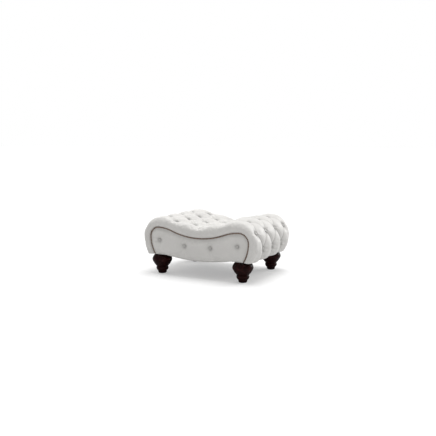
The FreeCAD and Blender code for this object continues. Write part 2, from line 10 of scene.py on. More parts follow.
import bpy
import numpy as np
from bpy.props import FloatProperty, FloatVectorProperty, IntProperty, PointerProperty
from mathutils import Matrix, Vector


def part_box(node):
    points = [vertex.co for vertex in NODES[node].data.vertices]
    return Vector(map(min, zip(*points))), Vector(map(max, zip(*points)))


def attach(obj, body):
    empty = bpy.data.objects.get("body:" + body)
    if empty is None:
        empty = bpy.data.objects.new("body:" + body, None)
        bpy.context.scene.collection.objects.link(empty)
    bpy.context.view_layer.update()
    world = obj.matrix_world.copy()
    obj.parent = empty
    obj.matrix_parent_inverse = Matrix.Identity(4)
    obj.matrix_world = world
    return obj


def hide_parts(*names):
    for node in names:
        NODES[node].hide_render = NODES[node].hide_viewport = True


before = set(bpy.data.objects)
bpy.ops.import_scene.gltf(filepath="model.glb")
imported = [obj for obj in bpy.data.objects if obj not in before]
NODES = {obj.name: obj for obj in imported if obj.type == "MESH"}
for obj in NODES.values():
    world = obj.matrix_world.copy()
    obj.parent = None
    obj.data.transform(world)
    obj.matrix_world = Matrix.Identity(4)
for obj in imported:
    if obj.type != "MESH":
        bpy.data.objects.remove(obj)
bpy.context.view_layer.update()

bl_info = {
    "name": "Tufted footstool",
    "version": (1, 0, 0),
    "blender": (4, 5, 0),
    "location": "View3D > Sidebar > Footstool",
    "description": "Builds the padding, trim, feet and finishes of a button-tufted footstool",
    "category": "Object",
}

BODY = "root"
SIDES = (("front", -1), ("back", 1))

# The body's outline, in millimetres as in the solids
NAIL_LOW_Z = 273.0
NAIL_HIGH_Z = 330.0
CREST_X = 311.0
CROWN_R = 300.0
SHOULDER_R = 65.0
SHOULDER_Z = NAIL_HIGH_Z - SHOULDER_R
FLANK_R = 235.0
BODY_BOTTOM_Z = 140.0
BELLY_HALF = 250.0
BELLY_DROP = 23.0
PANEL_FACE_Y = 272.0
PANEL_MARGIN = 14.0
SOFT_GAP = 0.3
COVER_BOTTOM_Z = BODY_BOTTOM_Z + SOFT_GAP
SOFT_BACK_Y = PANEL_FACE_Y + SOFT_GAP
NAIL_SEAT_Y = PANEL_FACE_Y + 10.0

# The layers of the seat, by their lift off the nail line
DECK_HALF = PANEL_FACE_Y - 2.0
STRAP_WIDTH = 50.0
STRAP_THICKNESS = 1.7
STRAP_LIFT = PANEL_MARGIN + SOFT_GAP
HESSIAN_LIFT = PANEL_MARGIN + 2 * STRAP_THICKNESS
HESSIAN_THICKNESS = 1.3
FOAM_LIFT = HESSIAN_LIFT + HESSIAN_THICKNESS + SOFT_GAP
SEAT_LIFT = 40.0
COVER_UNDER_LIFT = SEAT_LIFT - 6.0
BUTTON_SEAT_LIFT = SEAT_LIFT + 7.0
KNOT_LENGTH = 7.0
KNOT_LIFT = HESSIAN_LIFT - KNOT_LENGTH - SOFT_GAP

# Rows and half pitches of the buttons, and the place of the seat line's last row
TUFT_PITCH = 105.0
LAST_ROW = 5
HALF_PITCH = 77.0
LAST_BUTTON = 3
FIELD_END = LAST_ROW * TUFT_PITCH

# The plain border beside the field; its heights and the pillows' crowns are shares of the pillow rise, row by
# row from the middle
BORDER_LIP = 6.0
BORDER_BULGE = 18.0
BORDER_BULGE_LIFT = 34.0
BORDER_TOP_Y = PANEL_FACE_Y - 10.0
BORDER_EDGE = BORDER_TOP_Y / HALF_PITCH
BORDER_SHARES = (0.46, 1.31, 0.70, 0.91, 0.41, 0.60)
BORDER_ROLL_SHARE = 0.65
CROWN_ROW_SHARES = (1.06, 1.07, 1.07, 0.98, 0.75, 0.92)

# How the leather lies round a button of the seat
BUTTON_FLAT_R = 12.0
GATHER_R = 17.0
GATHER_WIDTH = 9.0
GATHER_COUNT = 9
GATHER_RISE = 0.035
# the reach of the painted shade in a button's well
WELL_SHADE_R = 25.0
HELD_R = 24.0

# The facings: their length down the flank, the roll inside the nail line, the hem and the dimpled buttons
FACING_FLANK = 93.0
FACING_CROWN = 14.0
FACING_FLAT = 6.0
FACING_ROLL = 30.0
FACING_HEM = 3.0
FACING_BOTTOM_ROLL = 12.0
FACING_HELD = 20.0
# the width of the painted shade along the nail line
SEAM_SHADE_WIDTH = 5.0
JUST_OFF_MIDDLE = 1e-9
FACING_BUTTON_PITCH = 199.5
FACING_BUTTON_Z = (243.6, 215.6, 215.6, 243.6)
FACING_BUTTONS = [((k - 1.5) * FACING_BUTTON_PITCH, z) for k, z in enumerate(FACING_BUTTON_Z)]
FACING_BUTTON_Y = NAIL_SEAT_Y + FACING_CROWN - 9.0 + SOFT_GAP
DIMPLE_R = 16.0
DIMPLE_DEPTH = 6.6
DISH_R = 40.0
DISH_DEPTH = 4.6
DIMPLE_SHADE_R = 17.0
PULL_R = 20.0
PULL_SPREAD = 420.0
PULL_DEPTH = 0.8
PULL_TILT = 0.6

NAIL_END_ABOVE_BOTTOM = 6.0

FOOT_X = 315.0
FOOT_Y = PANEL_FACE_Y - 37.5
FOOT_TOP_R = 46.0
FOOT_ENDS = (("left", -FOOT_X), ("right", FOOT_X))

# How finely the padding is meshed: steps from one row or half pitch to the next, down a flank and round a
# border roll, points across the underside, and steps along and up a facing
TUFT_STEPS = 24
LOW_STEPS = 22
ROLL_STEPS = 14
UNDER_POINTS = 9
FACING_COLUMNS = 300
FACING_LEVELS = 64
# The same from row to row and down a flank for the filling and for the line of nails
FILLING_STEPS = (10, 4)
NAIL_LINE_STEPS = (12, 10)

# The stuffing of the padding as cloth
CLOTH_FRAMES = 20
CLOTH_HOLDS = 20
CLOTH_SETTINGS = {
    "quality": 5,
    "mass": 0.3,
    "tension_stiffness": 12,
    "compression_stiffness": 12,
    "shear_stiffness": 6,
    "bending_stiffness": 0.6,
    "air_damping": 4,
    "pin_stiffness": 1,
    "use_pressure": True,
    "uniform_pressure_force": 4.0,
}


def nail_line_arcs():
    """The nail line's right half as rows of centre x, centre z, radius, bend, first and last normal angle."""
    dip_depth = NAIL_HIGH_Z - NAIL_LOW_Z
    dip_r = (CREST_X**2 + dip_depth**2) / (2 * dip_depth) - CROWN_R
    sweep = math.asin(CREST_X / (dip_r + CROWN_R))
    flank_x = CREST_X + SHOULDER_R - FLANK_R
    return np.array(
        [
            (0.0, NAIL_LOW_Z + dip_r, dip_r, -1, 0.0, -sweep),
            (CREST_X, NAIL_HIGH_Z - CROWN_R, CROWN_R, 1, -sweep, 0.0),
            (CREST_X, SHOULDER_Z, SHOULDER_R, 1, 0.0, math.pi / 2),
            (flank_x, SHOULDER_Z, FLANK_R, 1, math.pi / 2, math.pi),
        ]
    )


ARCS = nail_line_arcs()
ARC_LENGTHS = abs(ARCS[:, 5] - ARCS[:, 4]) * (ARCS[:, 2] + ARCS[:, 3] * SEAT_LIFT)
ARC_STARTS = np.concatenate([[0], np.cumsum(ARC_LENGTHS)])


def arc_at(distance):
    """Centre x and z, radius and bend of the arc at each distance from the middle, and the normal's angle."""
    left = np.abs(distance)
    number = np.minimum(np.searchsorted(ARC_STARTS[1:], left, side="right"), len(ARCS) - 1)
    center_x, center_z, radius, bend, first, last = np.moveaxis(ARCS[number], -1, 0)
    angle = first + np.sign(last - first) * (left - ARC_STARTS[number]) / (radius + bend * SEAT_LIFT)
    return center_x, center_z, radius, bend, angle


def lifted(distance, lift, low=0.0, bottom_z=COVER_BOTTOM_Z):
    """x and z at a distance and lift; low goes from 0 there to 1 at the bottom edge, down the flank."""
    center_x, center_z, radius, bend, angle = arc_at(distance)
    foot = np.arccos(np.clip((bottom_z - SHOULDER_Z) / (FLANK_R + lift), -1, 1))
    angle = mixed(angle, foot, low)
    reach = bend * (radius + bend * lift)
    return np.sign(distance) * (center_x + reach * np.sin(angle)), center_z + reach * np.cos(angle)


def outward(distance):
    """The unit normal at each distance, as rows of x, y, z."""
    angle = arc_at(distance)[-1]
    return np.stack([np.sign(distance) * np.sin(angle), np.zeros_like(angle), np.cos(angle)], -1)


def smooth(t):
    """An even step from 0 to 1."""
    t = np.clip(t, 0, 1)
    return t * t * (3 - 2 * t)


def mixed(first, second, share):
    """A value between two others, by the second one's share."""
    return first + (second - first) * share


def bell(reach, width, power=2):
    """1 at reach 0, falling away within about its width."""
    return np.exp(-((reach / width) ** power))


def oddness(a):
    """0 at even rows, 1 at odd ones, and evenly between."""
    return 1 - np.abs(a % 2 - 1)


def stations(steps_per_row=TUFT_STEPS, low_steps=LOW_STEPS):
    """Distances and low shares from one bottom edge over the seat to the other."""
    rows = np.arange(-LAST_ROW * steps_per_row, LAST_ROW * steps_per_row + 1) / steps_per_row * TUFT_PITCH
    low = np.arange(1, low_steps + 1) / low_steps
    end = np.full(low_steps, FIELD_END)
    return np.concatenate([-end, rows, end]), np.concatenate([low[::-1], np.zeros(len(rows)), low])


def border_share(a):
    """How high the border stands beside each place: notched at even rows, full at odd ones."""
    notch = np.interp(a, (0, 2, 4), BORDER_SHARES[::2])
    peak = np.interp(a, (1, 3, 5), BORDER_SHARES[1::2])
    return mixed(notch, peak, np.sin(np.pi / 2 * oddness(a)) ** 0.6)


def diamond(a, b):
    """The place in a pillow between its two pairs of folds, each from 0 to 1."""
    return ((a + b + 1) / 2) % 1, ((a - b + 1) / 2) % 1


def nearest_button(a, b, low):
    """Distance and direction from the nearest button, its column, and whether it is there."""
    p, q = np.round((a + b + 1) / 2), np.round((a - b + 1) / 2)
    row, column = p + q - 1, p - q
    along, beside = (a - row) * TUFT_PITCH, (b - column) * HALF_PITCH
    there = (np.abs(row) <= LAST_ROW) & (np.abs(column) <= LAST_BUTTON) & (low < 0.35)
    return np.hypot(along, beside), np.arctan2(beside, along), column, there


def tuft_rise(rows, across, low, look):
    """Rise of the buttoned surface over its button seats, painted shade in its folds and button wells, and
    freedom to swell.
    """
    a, side = np.abs(rows), np.abs(across)
    b = np.minimum(side, LAST_BUTTON)
    u, v = diamond(a, b)
    w = (b / 2) % 1
    # over the ends the pleats lie deeper and the pillows round off like tubes
    end = smooth((a - 3.2) / 1.3)
    power = look.dome_power * (1 + 0.5 * end)
    fold_share = look.fold_share * (1 - 0.72 * end)
    crown_u, crown_v, crown_w = (np.sin(np.pi * place) ** power for place in (u, v, w))
    fold_u, fold_v = (fold_share * np.sin(np.pi * place) ** 0.7 for place in (u, v))
    full = np.interp(a, range(LAST_ROW + 1), CROWN_ROW_SHARES)
    rise = crown_u * crown_v * full + (1 - crown_u) * fold_v + (1 - crown_v) * fold_u
    # straight pleats below the last row
    straight = mixed(0.12 - 0.06 * low, 0.92 - 0.26 * low**2.5, crown_w)
    rise = mixed(rise, straight, smooth(low / 0.3))
    # outside the last buttons the surface runs to the border, with a short pleat at each even row
    outer = smooth((side - LAST_BUTTON) / (BORDER_EDGE - LAST_BUTTON))
    rise = mixed(rise, border_share(a) - 0.20 * low**1.5, outer)
    # flat seats for the buttons, with gathers round them
    r, angle, column, there = nearest_button(a, side, low)
    seat = there * bell(r, BUTTON_FLAT_R, 4)
    gathers = there * bell(r - GATHER_R, GATHER_WIDTH) * np.cos(GATHER_COUNT * angle + 2 * column)
    # painted shade: the folds are darkened, and most of all the wells of the buttons
    nearest_fold = np.minimum(np.minimum(u, 1 - u), np.minimum(v, 1 - v)) * 2
    nearest_fold = np.where(low > 0, np.minimum(w, 1 - w) * 2, nearest_fold)
    shade = bell(nearest_fold, 0.10, 1.5) * (1 - 0.5 * smooth((side - LAST_BUTTON) / 0.4))
    well = there * bell(r, WELL_SHADE_R, 3) * (1 - 0.3 * smooth((a - 4.3) / 0.7))
    shade = np.maximum((0.25 + 0.35 * end) * shade, well)
    # folds, buttons and the bottom edge are held, and the pillows between them are free
    away = mixed(nearest_fold, 0.3 + 0.7 * oddness(a), smooth((side - LAST_BUTTON) / 0.4))
    free = smooth(away / 0.45) * (1 - there * bell(r, HELD_R)) * smooth((1 - low) / 0.25)
    return rise * (1 - seat) + GATHER_RISE * gathers, shade, free


def border_roll(rows, low, edge, rise):
    """y, lift, painted fold shade and freedom of the border, from the nails outwards and up over its edge."""
    edge_rise, edge_shade, edge_free = edge
    top = SEAT_LIFT + rise * edge_rise
    plain_top = SEAT_LIFT + rise * (0.98 - 0.085 * np.abs(rows) - 0.15 * low**1.5)
    # square along the seat, rounder over the shoulders
    square = mixed(BORDER_ROLL_SHARE, 1, smooth((np.abs(rows) - 2.2) / 1.2))
    level = np.ones(len(rows))
    turn = np.linspace(0, math.pi / 2, ROLL_STEPS + 1)
    columns = []
    for angle in turn[:-1]:
        y = NAIL_SEAT_Y + BORDER_BULGE * math.sin(angle)
        lift = mixed(BORDER_LIP, BORDER_BULGE_LIFT, 1 - math.cos(angle))
        columns.append((y * level, lift * level, 0 * level, edge_free * 0.6 * math.sin(angle) ** 2))
    for angle in turn:
        # the pleats of the field fade on the way down
        share = math.sin(angle) ** 2
        out, up = max(math.cos(angle), 0) ** square, math.sin(angle) ** square
        notch = (plain_top - top) * 0.5 * out * share
        y = mixed(BORDER_TOP_Y, NAIL_SEAT_Y + BORDER_BULGE, out) - notch
        lift = mixed(BORDER_BULGE_LIFT, mixed(plain_top, top, share), up)
        columns.append((y, lift, edge_shade * share**2, edge_free * (0.6 + 0.4 * share)))
    return [np.stack(values, 1) for values in zip(*columns)]


def cover_rings(look):
    """Points of the cover's closed cross rings, with the painted fold shade and the freedom of each."""
    distance, low = stations()
    rows = distance / TUFT_PITCH
    half = np.arange(1, int(BORDER_EDGE * TUFT_STEPS) + 1) / TUFT_STEPS
    across = np.concatenate([-half[::-1], [0], half])
    pillow_rise = look.pillow_rise * 1000
    rise, field_shade, field_free = tuft_rise(rows[:, None], across[None], low[:, None], look)
    edge = tuft_rise(rows, np.full(len(rows), BORDER_EDGE), low, look)
    roll_y, roll_lift, roll_shade, roll_free = border_roll(rows, low, edge, pillow_rise)

    def ringed(seat, roll, field, under, front=1):
        """Values from the front nails over the border, the field and the back border, and back underneath."""
        level = np.ones((len(rows), 1))
        seat, field, under = level * seat, level * field, level * under
        return np.concatenate([front * seat, front * roll, field, roll[:, ::-1], seat[:, ::-1], under], 1)

    under_y = np.linspace(SOFT_BACK_Y, -SOFT_BACK_Y, UNDER_POINTS)
    still = np.zeros(UNDER_POINTS)
    y = ringed((SOFT_BACK_Y, NAIL_SEAT_Y), roll_y, across * HALF_PITCH, under_y, front=-1)
    lift = ringed((SOFT_GAP, SOFT_GAP), roll_lift, SEAT_LIFT + pillow_rise * rise, still + COVER_UNDER_LIFT)
    shade = ringed((0, 0), roll_shade, field_shade, still)
    free = ringed((0, 0), roll_free, field_free, still)
    x, z = lifted(distance[:, None], lift, low[:, None])
    return np.stack([x, y, z], -1), shade, free, rows, across, 2 + roll_y.shape[1]


def grid_quads(count, size, closed=False):
    """Quads between count rows of size points, or between rings of them if closed, as rows of quads."""
    number = np.arange(count * size).reshape(count, size)
    if closed:
        number = np.concatenate([number, number[:, :1]], 1)
    return np.stack([number[:-1, :-1], number[:-1, 1:], number[1:, 1:], number[1:, :-1]], -1)


def ring_caps(count, size):
    """The faces that close the first and the last ring."""
    return [tuple(range(size))[::-1], tuple(range((count - 1) * size, count * size))]


def tube(count, size):
    """The faces of a closed tube of rings."""
    return [*grid_quads(count, size, True).reshape(-1, 4)] + ring_caps(count, size)


def cover_faces(ring_count, ring_size, rows, across, field_start):
    """Faces between the rings: triangles folded along the pleats in the tufted field, quads elsewhere."""
    faces = ring_caps(ring_count, ring_size)
    for number, (p, q, r, s) in enumerate(grid_quads(ring_count, ring_size, True).reshape(-1, 4)):
        row, column = divmod(number, ring_size)
        column -= field_start
        if not 0 <= column < len(across) - 1:
            faces.append((p, q, r, s))
            continue
        u, v = diamond((rows[row] + rows[row + 1]) / 2, (across[column] + across[column + 1]) / 2)
        if min(u, 1 - u) < min(v, 1 - v):
            faces += [(p, q, s), (q, r, s)]
        else:
            faces += [(p, q, r), (p, r, s)]
    return faces


def lathe(profile, sides, twist=0.0):
    """Rings of points from rows of radius and height, each turned by a share of a side, and their faces."""
    profile = np.asarray(profile, float)
    turned = 2 * np.pi * (np.arange(sides) + twist * np.arange(len(profile))[:, None]) / sides
    r, z = profile[:, :1], profile[:, 1:2]
    return np.stack([r * np.cos(turned), r * np.sin(turned), z + 0 * turned], -1), tube(len(profile), sides)


def welded(points, faces):
    """A shape without its doubled and unused points, so that poles and corners close, and the kept ones."""
    points = np.asarray(points, float).reshape(-1, 3)
    _, first, number = np.unique(points.round(6), axis=0, return_index=True, return_inverse=True)
    number = number.ravel()
    faces = [list(dict.fromkeys(number[list(face)])) for face in faces]
    faces = [face for face in faces if len(face) > 2]
    used = np.unique(np.concatenate(faces))
    order = np.zeros(len(first), int)
    order[used] = np.arange(len(used))
    kept = first[used]
    return points[kept], [order[face] for face in faces], kept


def give_values(mesh, name, values, kind="FLOAT"):
    """Stores a number or a vector for each point of a mesh."""
    key = "vector" if kind == "FLOAT_VECTOR" else "value"
    mesh.attributes.new(name, kind, "POINT").data.foreach_set(key, np.asarray(values, np.float32).ravel())


def to_mesh(name, points, faces, finish, **values):
    """A smooth piece at the origin from points in millimetres, with outward faces and its points' values."""
    mesh = bpy.data.meshes.new(name)
    points = np.asarray(points, float).reshape(-1, 3) / 1000
    mesh.from_pydata(points, [], [tuple(int(v) for v in face) for face in faces])
    mesh.validate()
    mesh.calc_loop_triangles()
    triangles = np.empty(len(mesh.loop_triangles) * 3, np.int32)
    mesh.loop_triangles.foreach_get("vertices", triangles)
    first, second, third = points[triangles.reshape(-1, 3)].transpose(1, 0, 2)
    if (first * np.cross(second, third)).sum() < 0:
        mesh.flip_normals()
    mesh.shade_smooth()
    for key, value in values.items():
        give_values(mesh, key, value)
    mesh.materials.append(finish)
    piece = bpy.data.objects.new(name, mesh)
    bpy.context.scene.collection.objects.link(piece)
    return piece


def crease_normals(piece, degrees):
    """Marks edges sharper than an angle so that flats and creases stay crisp."""
    piece.data.set_sharp_from_angle(angle=math.radians(degrees))


def put_on(piece, slot, *nodes):
    """The piece rides on the stool's body and stands for CAD nodes, which are hidden; the slot is not used.
    """
    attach(piece, BODY)
    if nodes:
        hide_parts(*nodes)
    return piece


def dressed(name, shape, finish, slot, node, crease, **values):
    """A piece with its creases that stands for one CAD node."""
    piece = to_mesh(name, *shape, finish, **values)
    crease_normals(piece, crease)
    return put_on(piece, slot, node)


# Node trees and finishes


class Nodes:
    """Fills a node tree: a value that is given for an input may be a socket, which is linked to it."""

    def __init__(self, tree):
        self.tree = tree
        tree.nodes.clear()

    def node(self, kind, inputs, **settings):
        node = self.tree.nodes.new(kind)
        for key, value in settings.items():
            setattr(node, key, value)
        for key, value in inputs.items():
            socket = node.inputs[key]
            if isinstance(value, bpy.types.NodeSocket):
                self.tree.links.new(value, socket)
            elif socket.type == "RGBA":
                socket.default_value = (*value[:3], 1)
            else:
                socket.default_value = value
        return node

    def add(self, kind, result=0, inputs=None, **settings):
        return self.node(kind, inputs or {}, **settings).outputs[result]

    def math(self, operation, first, second):
        return self.add("ShaderNodeMath", 0, {0: first, 1: second}, operation=operation)


class Finish(Nodes):
    """A material on the object's own coordinates."""

    def __init__(self, name):
        self.material = bpy.data.materials.new(name)
        self.material.use_nodes = True
        super().__init__(self.material.node_tree)

    def place(self, scale=(1, 1, 1)):
        spot = self.add("ShaderNodeTexCoord", "Object")
        return self.add("ShaderNodeMapping", 0, {"Vector": spot, "Scale": scale})

    def noise(self, place, scale, detail=2.0, distortion=0.0):
        values = {"Vector": place, "Scale": scale, "Detail": detail, "Distortion": distortion}
        return self.add("ShaderNodeTexNoise", "Fac", values)

    def grain(self, scale, detail, distortion=0.0):
        return self.noise(self.place(scale), 1.0, detail, distortion)

    def bands(self, place, scale, distortion, direction):
        values = {"Vector": place, "Scale": scale, "Distortion": distortion}
        return self.add("ShaderNodeTexWave", "Fac", values, bands_direction=direction)

    def point_attribute(self, name):
        return self.add("ShaderNodeAttribute", "Fac", attribute_name=name)

    def ramp(self, value, low, high, to_low=0.0, to_high=1.0):
        values = {"Value": value, "From Min": low, "From Max": high, "To Min": to_low, "To Max": to_high}
        return self.add("ShaderNodeMapRange", 0, values)

    def mix(self, share, first, second):
        # sockets 0, 6 and 7 are the share and the two colours, and output 2 is the mixed colour
        return self.add("ShaderNodeMix", 2, {0: share, 6: first, 7: second}, data_type="RGBA")

    def bump(self, height, strength, distance, under=None):
        values = {"Height": height, "Strength": strength, "Distance": distance}
        if under is not None:
            values["Normal"] = under
        return self.add("ShaderNodeBump", 0, values)

    def show(self, shader):
        self.node("ShaderNodeOutputMaterial", {"Surface": shader})
        return self.material

    def finish(self, **inputs):
        named = {key.replace("_", " ").title().replace("Ior", "IOR"): value for key, value in inputs.items()}
        return self.show(self.add("ShaderNodeBsdfPrincipled", 0, named))


def shaded(color, factor):
    """A colour made lighter or darker."""
    return tuple(min(1.0, c * factor) for c in color[:3])


def leather(name, look, with_fold_shade, painted_shade_factor=1.0):
    """Off-white hide: fine pebbled grain, faint clouding, painted shade in the folds and button wells, and
    slightly polished crowns; a factor below 1 darkens the whole hide as painted shade.
    """
    f = Finish(name)
    hide = shaded(look.leather_color, painted_shade_factor)
    place = f.place()
    cloud = f.noise(place, 7.0, 3.0)
    color = f.mix(f.ramp(cloud, 0.35, 0.65), shaded(hide, 0.955), hide)
    mottle = f.noise(place, 160.0, 4.0)
    color = f.mix(f.ramp(mottle, 0.42, 0.72, 0.0, 0.35), color, shaded(hide, 0.93))
    roughness = f.ramp(cloud, 0.3, 0.7, look.leather_roughness - 0.05, look.leather_roughness + 0.06)
    if with_fold_shade:
        # painted shade: the fold attribute darkens the hide towards half in the folds, the button wells and
        # along the facings' nail line
        fold = f.point_attribute("fold")
        color = f.mix(f.math("MULTIPLY", fold, 0.9), color, shaded(hide, 0.5))
        roughness = f.math("ADD", roughness, f.math("MULTIPLY", fold, 0.12))
    cells = {"Vector": place, "Scale": 620.0}
    pebble = f.ramp(f.add("ShaderNodeTexVoronoi", "Distance", cells, feature="DISTANCE_TO_EDGE"), 0.0, 0.22)
    wrinkle = f.grain((60, 150, 90), 5.0, 1.2)
    normal = f.bump(wrinkle, 0.22, 0.0012)
    normal = f.bump(pebble, 0.35, 0.00025, normal)
    normal = f.bump(f.noise(place, 2400.0), 0.15, 0.0001, normal)
    return f.finish(
        base_color=color,
        roughness=roughness,
        specular_ior_level=0.42,
        sheen_weight=0.12,
        sheen_roughness=0.45,
        normal=normal,
    )


def stained_wood(name, look):
    """Dark stained mahogany under gloss lacquer: long grain up the foot, open pores, edges rubbed lighter."""
    f = Finish(name)
    grain = f.grain((95, 95, 9), 6.0, 0.8)
    pores = f.grain((420, 420, 16), 3.0)
    color = f.mix(f.ramp(grain, 0.35, 0.68), shaded(look.wood_color, 0.55), shaded(look.wood_color, 1.35))
    color = f.mix(f.ramp(pores, 0.56, 0.72, 0.0, 0.7), color, shaded(look.wood_color, 0.3))
    patchy = f.ramp(f.grain((40, 40, 60), 4.0), 0.45, 0.7)
    rubbed = f.math("MULTIPLY", f.point_attribute("edge"), f.math("MULTIPLY", patchy, 0.5))
    color = f.mix(rubbed, color, shaded(look.wood_color, 4.0))
    return f.finish(
        base_color=color,
        roughness=f.ramp(grain, 0.3, 0.7, look.wood_roughness, look.wood_roughness + 0.1),
        specular_ior_level=0.05,
        coat_weight=0.07,
        coat_roughness=0.05,
        normal=f.bump(pores, 0.12, 0.0003),
    )


def bronze(name, look):
    """Antiqued nail heads: dark bronze, tarnish between lighter rubbed tops, fine hammer marks."""
    f = Finish(name)
    place = f.place()
    tarnish = f.noise(place, 260.0, 4.0)
    color = f.mix(f.ramp(tarnish, 0.38, 0.62), shaded(look.nail_color, 0.45), look.nail_color)
    color = f.mix(f.math("MULTIPLY", f.point_attribute("edge"), 0.45), color, shaded(look.nail_color, 1.7))
    return f.finish(
        base_color=color,
        metallic=0.85,
        roughness=f.ramp(tarnish, 0.3, 0.7, 0.34, 0.56),
        normal=f.bump(f.noise(place, 900.0), 0.25, 0.0003),
    )


def plywood(name):
    """Birch plywood: plies across the sheet's thickness, long grain on its faces."""
    f = Finish(name)
    face = f.grain((9, 30, 160), 5.0, 1.5)
    ply = f.bands(f.place((0, 1, 0)), 55.0, 0.4, "Y")
    color = f.mix(f.ramp(face, 0.3, 0.7), (0.50, 0.34, 0.19), (0.66, 0.49, 0.30))
    color = f.mix(f.ramp(ply, 0.4, 0.6, 0.0, 0.4), color, (0.36, 0.23, 0.12))
    roughness = f.ramp(face, 0.3, 0.7, 0.55, 0.7)
    return f.finish(base_color=color, roughness=roughness, normal=f.bump(face, 0.2, 0.0004))


def timber(name, along):
    """Planed rail timber with its grain along one axis."""
    f = Finish(name)
    scale = {"x": (7, 85, 85), "y": (85, 7, 85)}[along]
    grain = f.grain(scale, 5.0, 1.1)
    pores = f.grain(tuple(5 * s for s in scale), 3.0)
    color = f.mix(f.ramp(grain, 0.32, 0.68), (0.36, 0.21, 0.10), (0.55, 0.36, 0.20))
    color = f.mix(f.ramp(pores, 0.55, 0.75, 0.0, 0.6), color, (0.22, 0.12, 0.06))
    roughness = f.ramp(grain, 0.3, 0.7, 0.5, 0.68)
    return f.finish(base_color=color, roughness=roughness, normal=f.bump(pores, 0.2, 0.0003))


def open_foam(name):
    """Pale yellow upholstery foam with open cells."""
    f = Finish(name)
    place = f.place()
    cells = f.add("ShaderNodeTexVoronoi", "Distance", {"Vector": place, "Scale": 700.0})
    aged = f.noise(place, 9.0, 3.0)
    color = f.mix(f.ramp(aged, 0.35, 0.7), (0.82, 0.74, 0.46), (0.72, 0.60, 0.32))
    color = f.mix(f.ramp(cells, 0.5, 0.9, 0.0, 0.5), color, (0.50, 0.40, 0.20))
    roughness = f.ramp(aged, 0.3, 0.7, 0.85, 0.95)
    return f.finish(base_color=color, roughness=roughness, normal=f.bump(cells, 0.6, 0.0006))


def woven(name, thread, light, dark, roughness=0.85, stripe=None):
    """Plain weave with threads of a width in millimetres; a stripe colour may run along the cloth's edges."""
    f = Finish(name)
    scale = 1000 / thread / 2
    place = f.place((scale, scale, scale))
    weave = f.math("MULTIPLY", f.bands(place, 0.32, 0.5, "X"), f.bands(place, 0.32, 0.5, "Y"))
    slub = f.noise(f.place(), 60.0, 4.0)
    color = f.mix(f.ramp(weave, 0.1, 0.8), dark, light)
    color = f.mix(f.ramp(slub, 0.4, 0.7, 0.0, 0.5), color, shaded(light, 0.8))
    if stripe is not None:
        color = f.mix(f.point_attribute("edge"), color, stripe)
    return f.finish(
        base_color=color,
        roughness=f.ramp(slub, 0.3, 0.7, roughness - 0.05, roughness + 0.05),
        sheen_weight=0.2,
        normal=f.bump(weave, 0.7, thread / 4000),
    )


def plain_part(name, color, roughness, metallic, grain_scale, grain_depth):
    """Moulded nylon or plated steel: one colour with handling marks and a fine surface."""
    f = Finish(name)
    place = f.place()
    rub = f.noise(place, 45.0, 4.0)
    return f.finish(
        base_color=f.mix(f.ramp(rub, 0.35, 0.7), shaded(color, 0.8), shaded(color, 1.25)),
        metallic=metallic,
        roughness=f.ramp(rub, 0.3, 0.7, roughness - 0.07, roughness + 0.1),
        normal=f.bump(f.noise(place, grain_scale, 3.0), 0.25, grain_depth),
    )


def repaint(node, finish):
    """Gives a CAD node's object a finish in each of its slots."""
    for place in NODES[node].material_slots:
        place.link = "OBJECT"
        place.material = finish


# What a user may change


def color_setting(name, description, default):
    """A colour in the panel."""
    return FloatVectorProperty(
        name=name, description=description, subtype="COLOR", size=3, min=0, max=1, default=default
    )


def length_setting(name, description, default):
    """A length in the panel."""
    return FloatProperty(name=name, description=description, unit="LENGTH", default=default)


def number_setting(name, description, default, low=0, high=1):
    """A number in the panel, between two limits."""
    return FloatProperty(name=name, description=description, min=low, max=high, default=default)


class TUFTING_PG_look(bpy.types.PropertyGroup):
    """Leather and shape of the tufted cover, its buttons and the facings."""

    leather_color: color_setting("Leather", "Colour of the hide", (0.77, 0.755, 0.73))
    leather_roughness: number_setting("Roughness", "Low is glossy, high is dull", 0.46)
    pillow_rise: length_setting("Pillow rise", "Height of a pillow over its buttons", 0.032)
    dome_power: number_setting("Dome", "Low is full and square, high is peaked", 0.42, low=0.2, high=2)
    fold_share: number_setting("Fold height", "Height of a fold midway between buttons, as a share", 0.62)
    button_radius: length_setting("Button", "Radius of a button", 0.010)
    button_height: length_setting("Button height", "Height of its dome", 0.006)


class NAILS_PG_look(bpy.types.PropertyGroup):
    """The upholstery nails round the facings."""

    nail_color: color_setting("Bronze", "Colour of the heads", (0.21, 0.132, 0.092))
    head_radius: length_setting("Head", "Radius of a nail head", 0.005)
    head_height: length_setting("Dome", "Height of a nail head", 0.003)
    spacing: length_setting("Spacing", "From one nail to the next", 0.011)


class FEET_PG_look(bpy.types.PropertyGroup):
    """The turned feet."""

    wood_color: color_setting("Stain", "Colour of the stained wood", (0.0155, 0.0030, 0.0028))
    wood_roughness: number_setting("Roughness", "Under the lacquer", 0.3)
    sides: IntProperty(name="Sides", description="Facets round a foot", min=24, max=256, default=96)


class STUDIO_PG_look(bpy.types.PropertyGroup):
    """Floor, light and camera."""

    floor_color: color_setting("Floor", "Colour of the floor", (0.65, 0.65, 0.65))
    floor_white: number_setting("Floor lift", "Light that only the camera sees on it", 0.36)
    sky: number_setting("Sky", "Strength of the even light", 0.45, high=5)
    lamp: number_setting("Lamp", "Strength of the soft lamp overhead", 1.75, high=20)
    rim: number_setting("Rim", "Strength of the low light from behind", 1.2, high=20)
    lens: number_setting("Lens", "Focal length in millimetres", 50, low=10, high=200)


# Padding


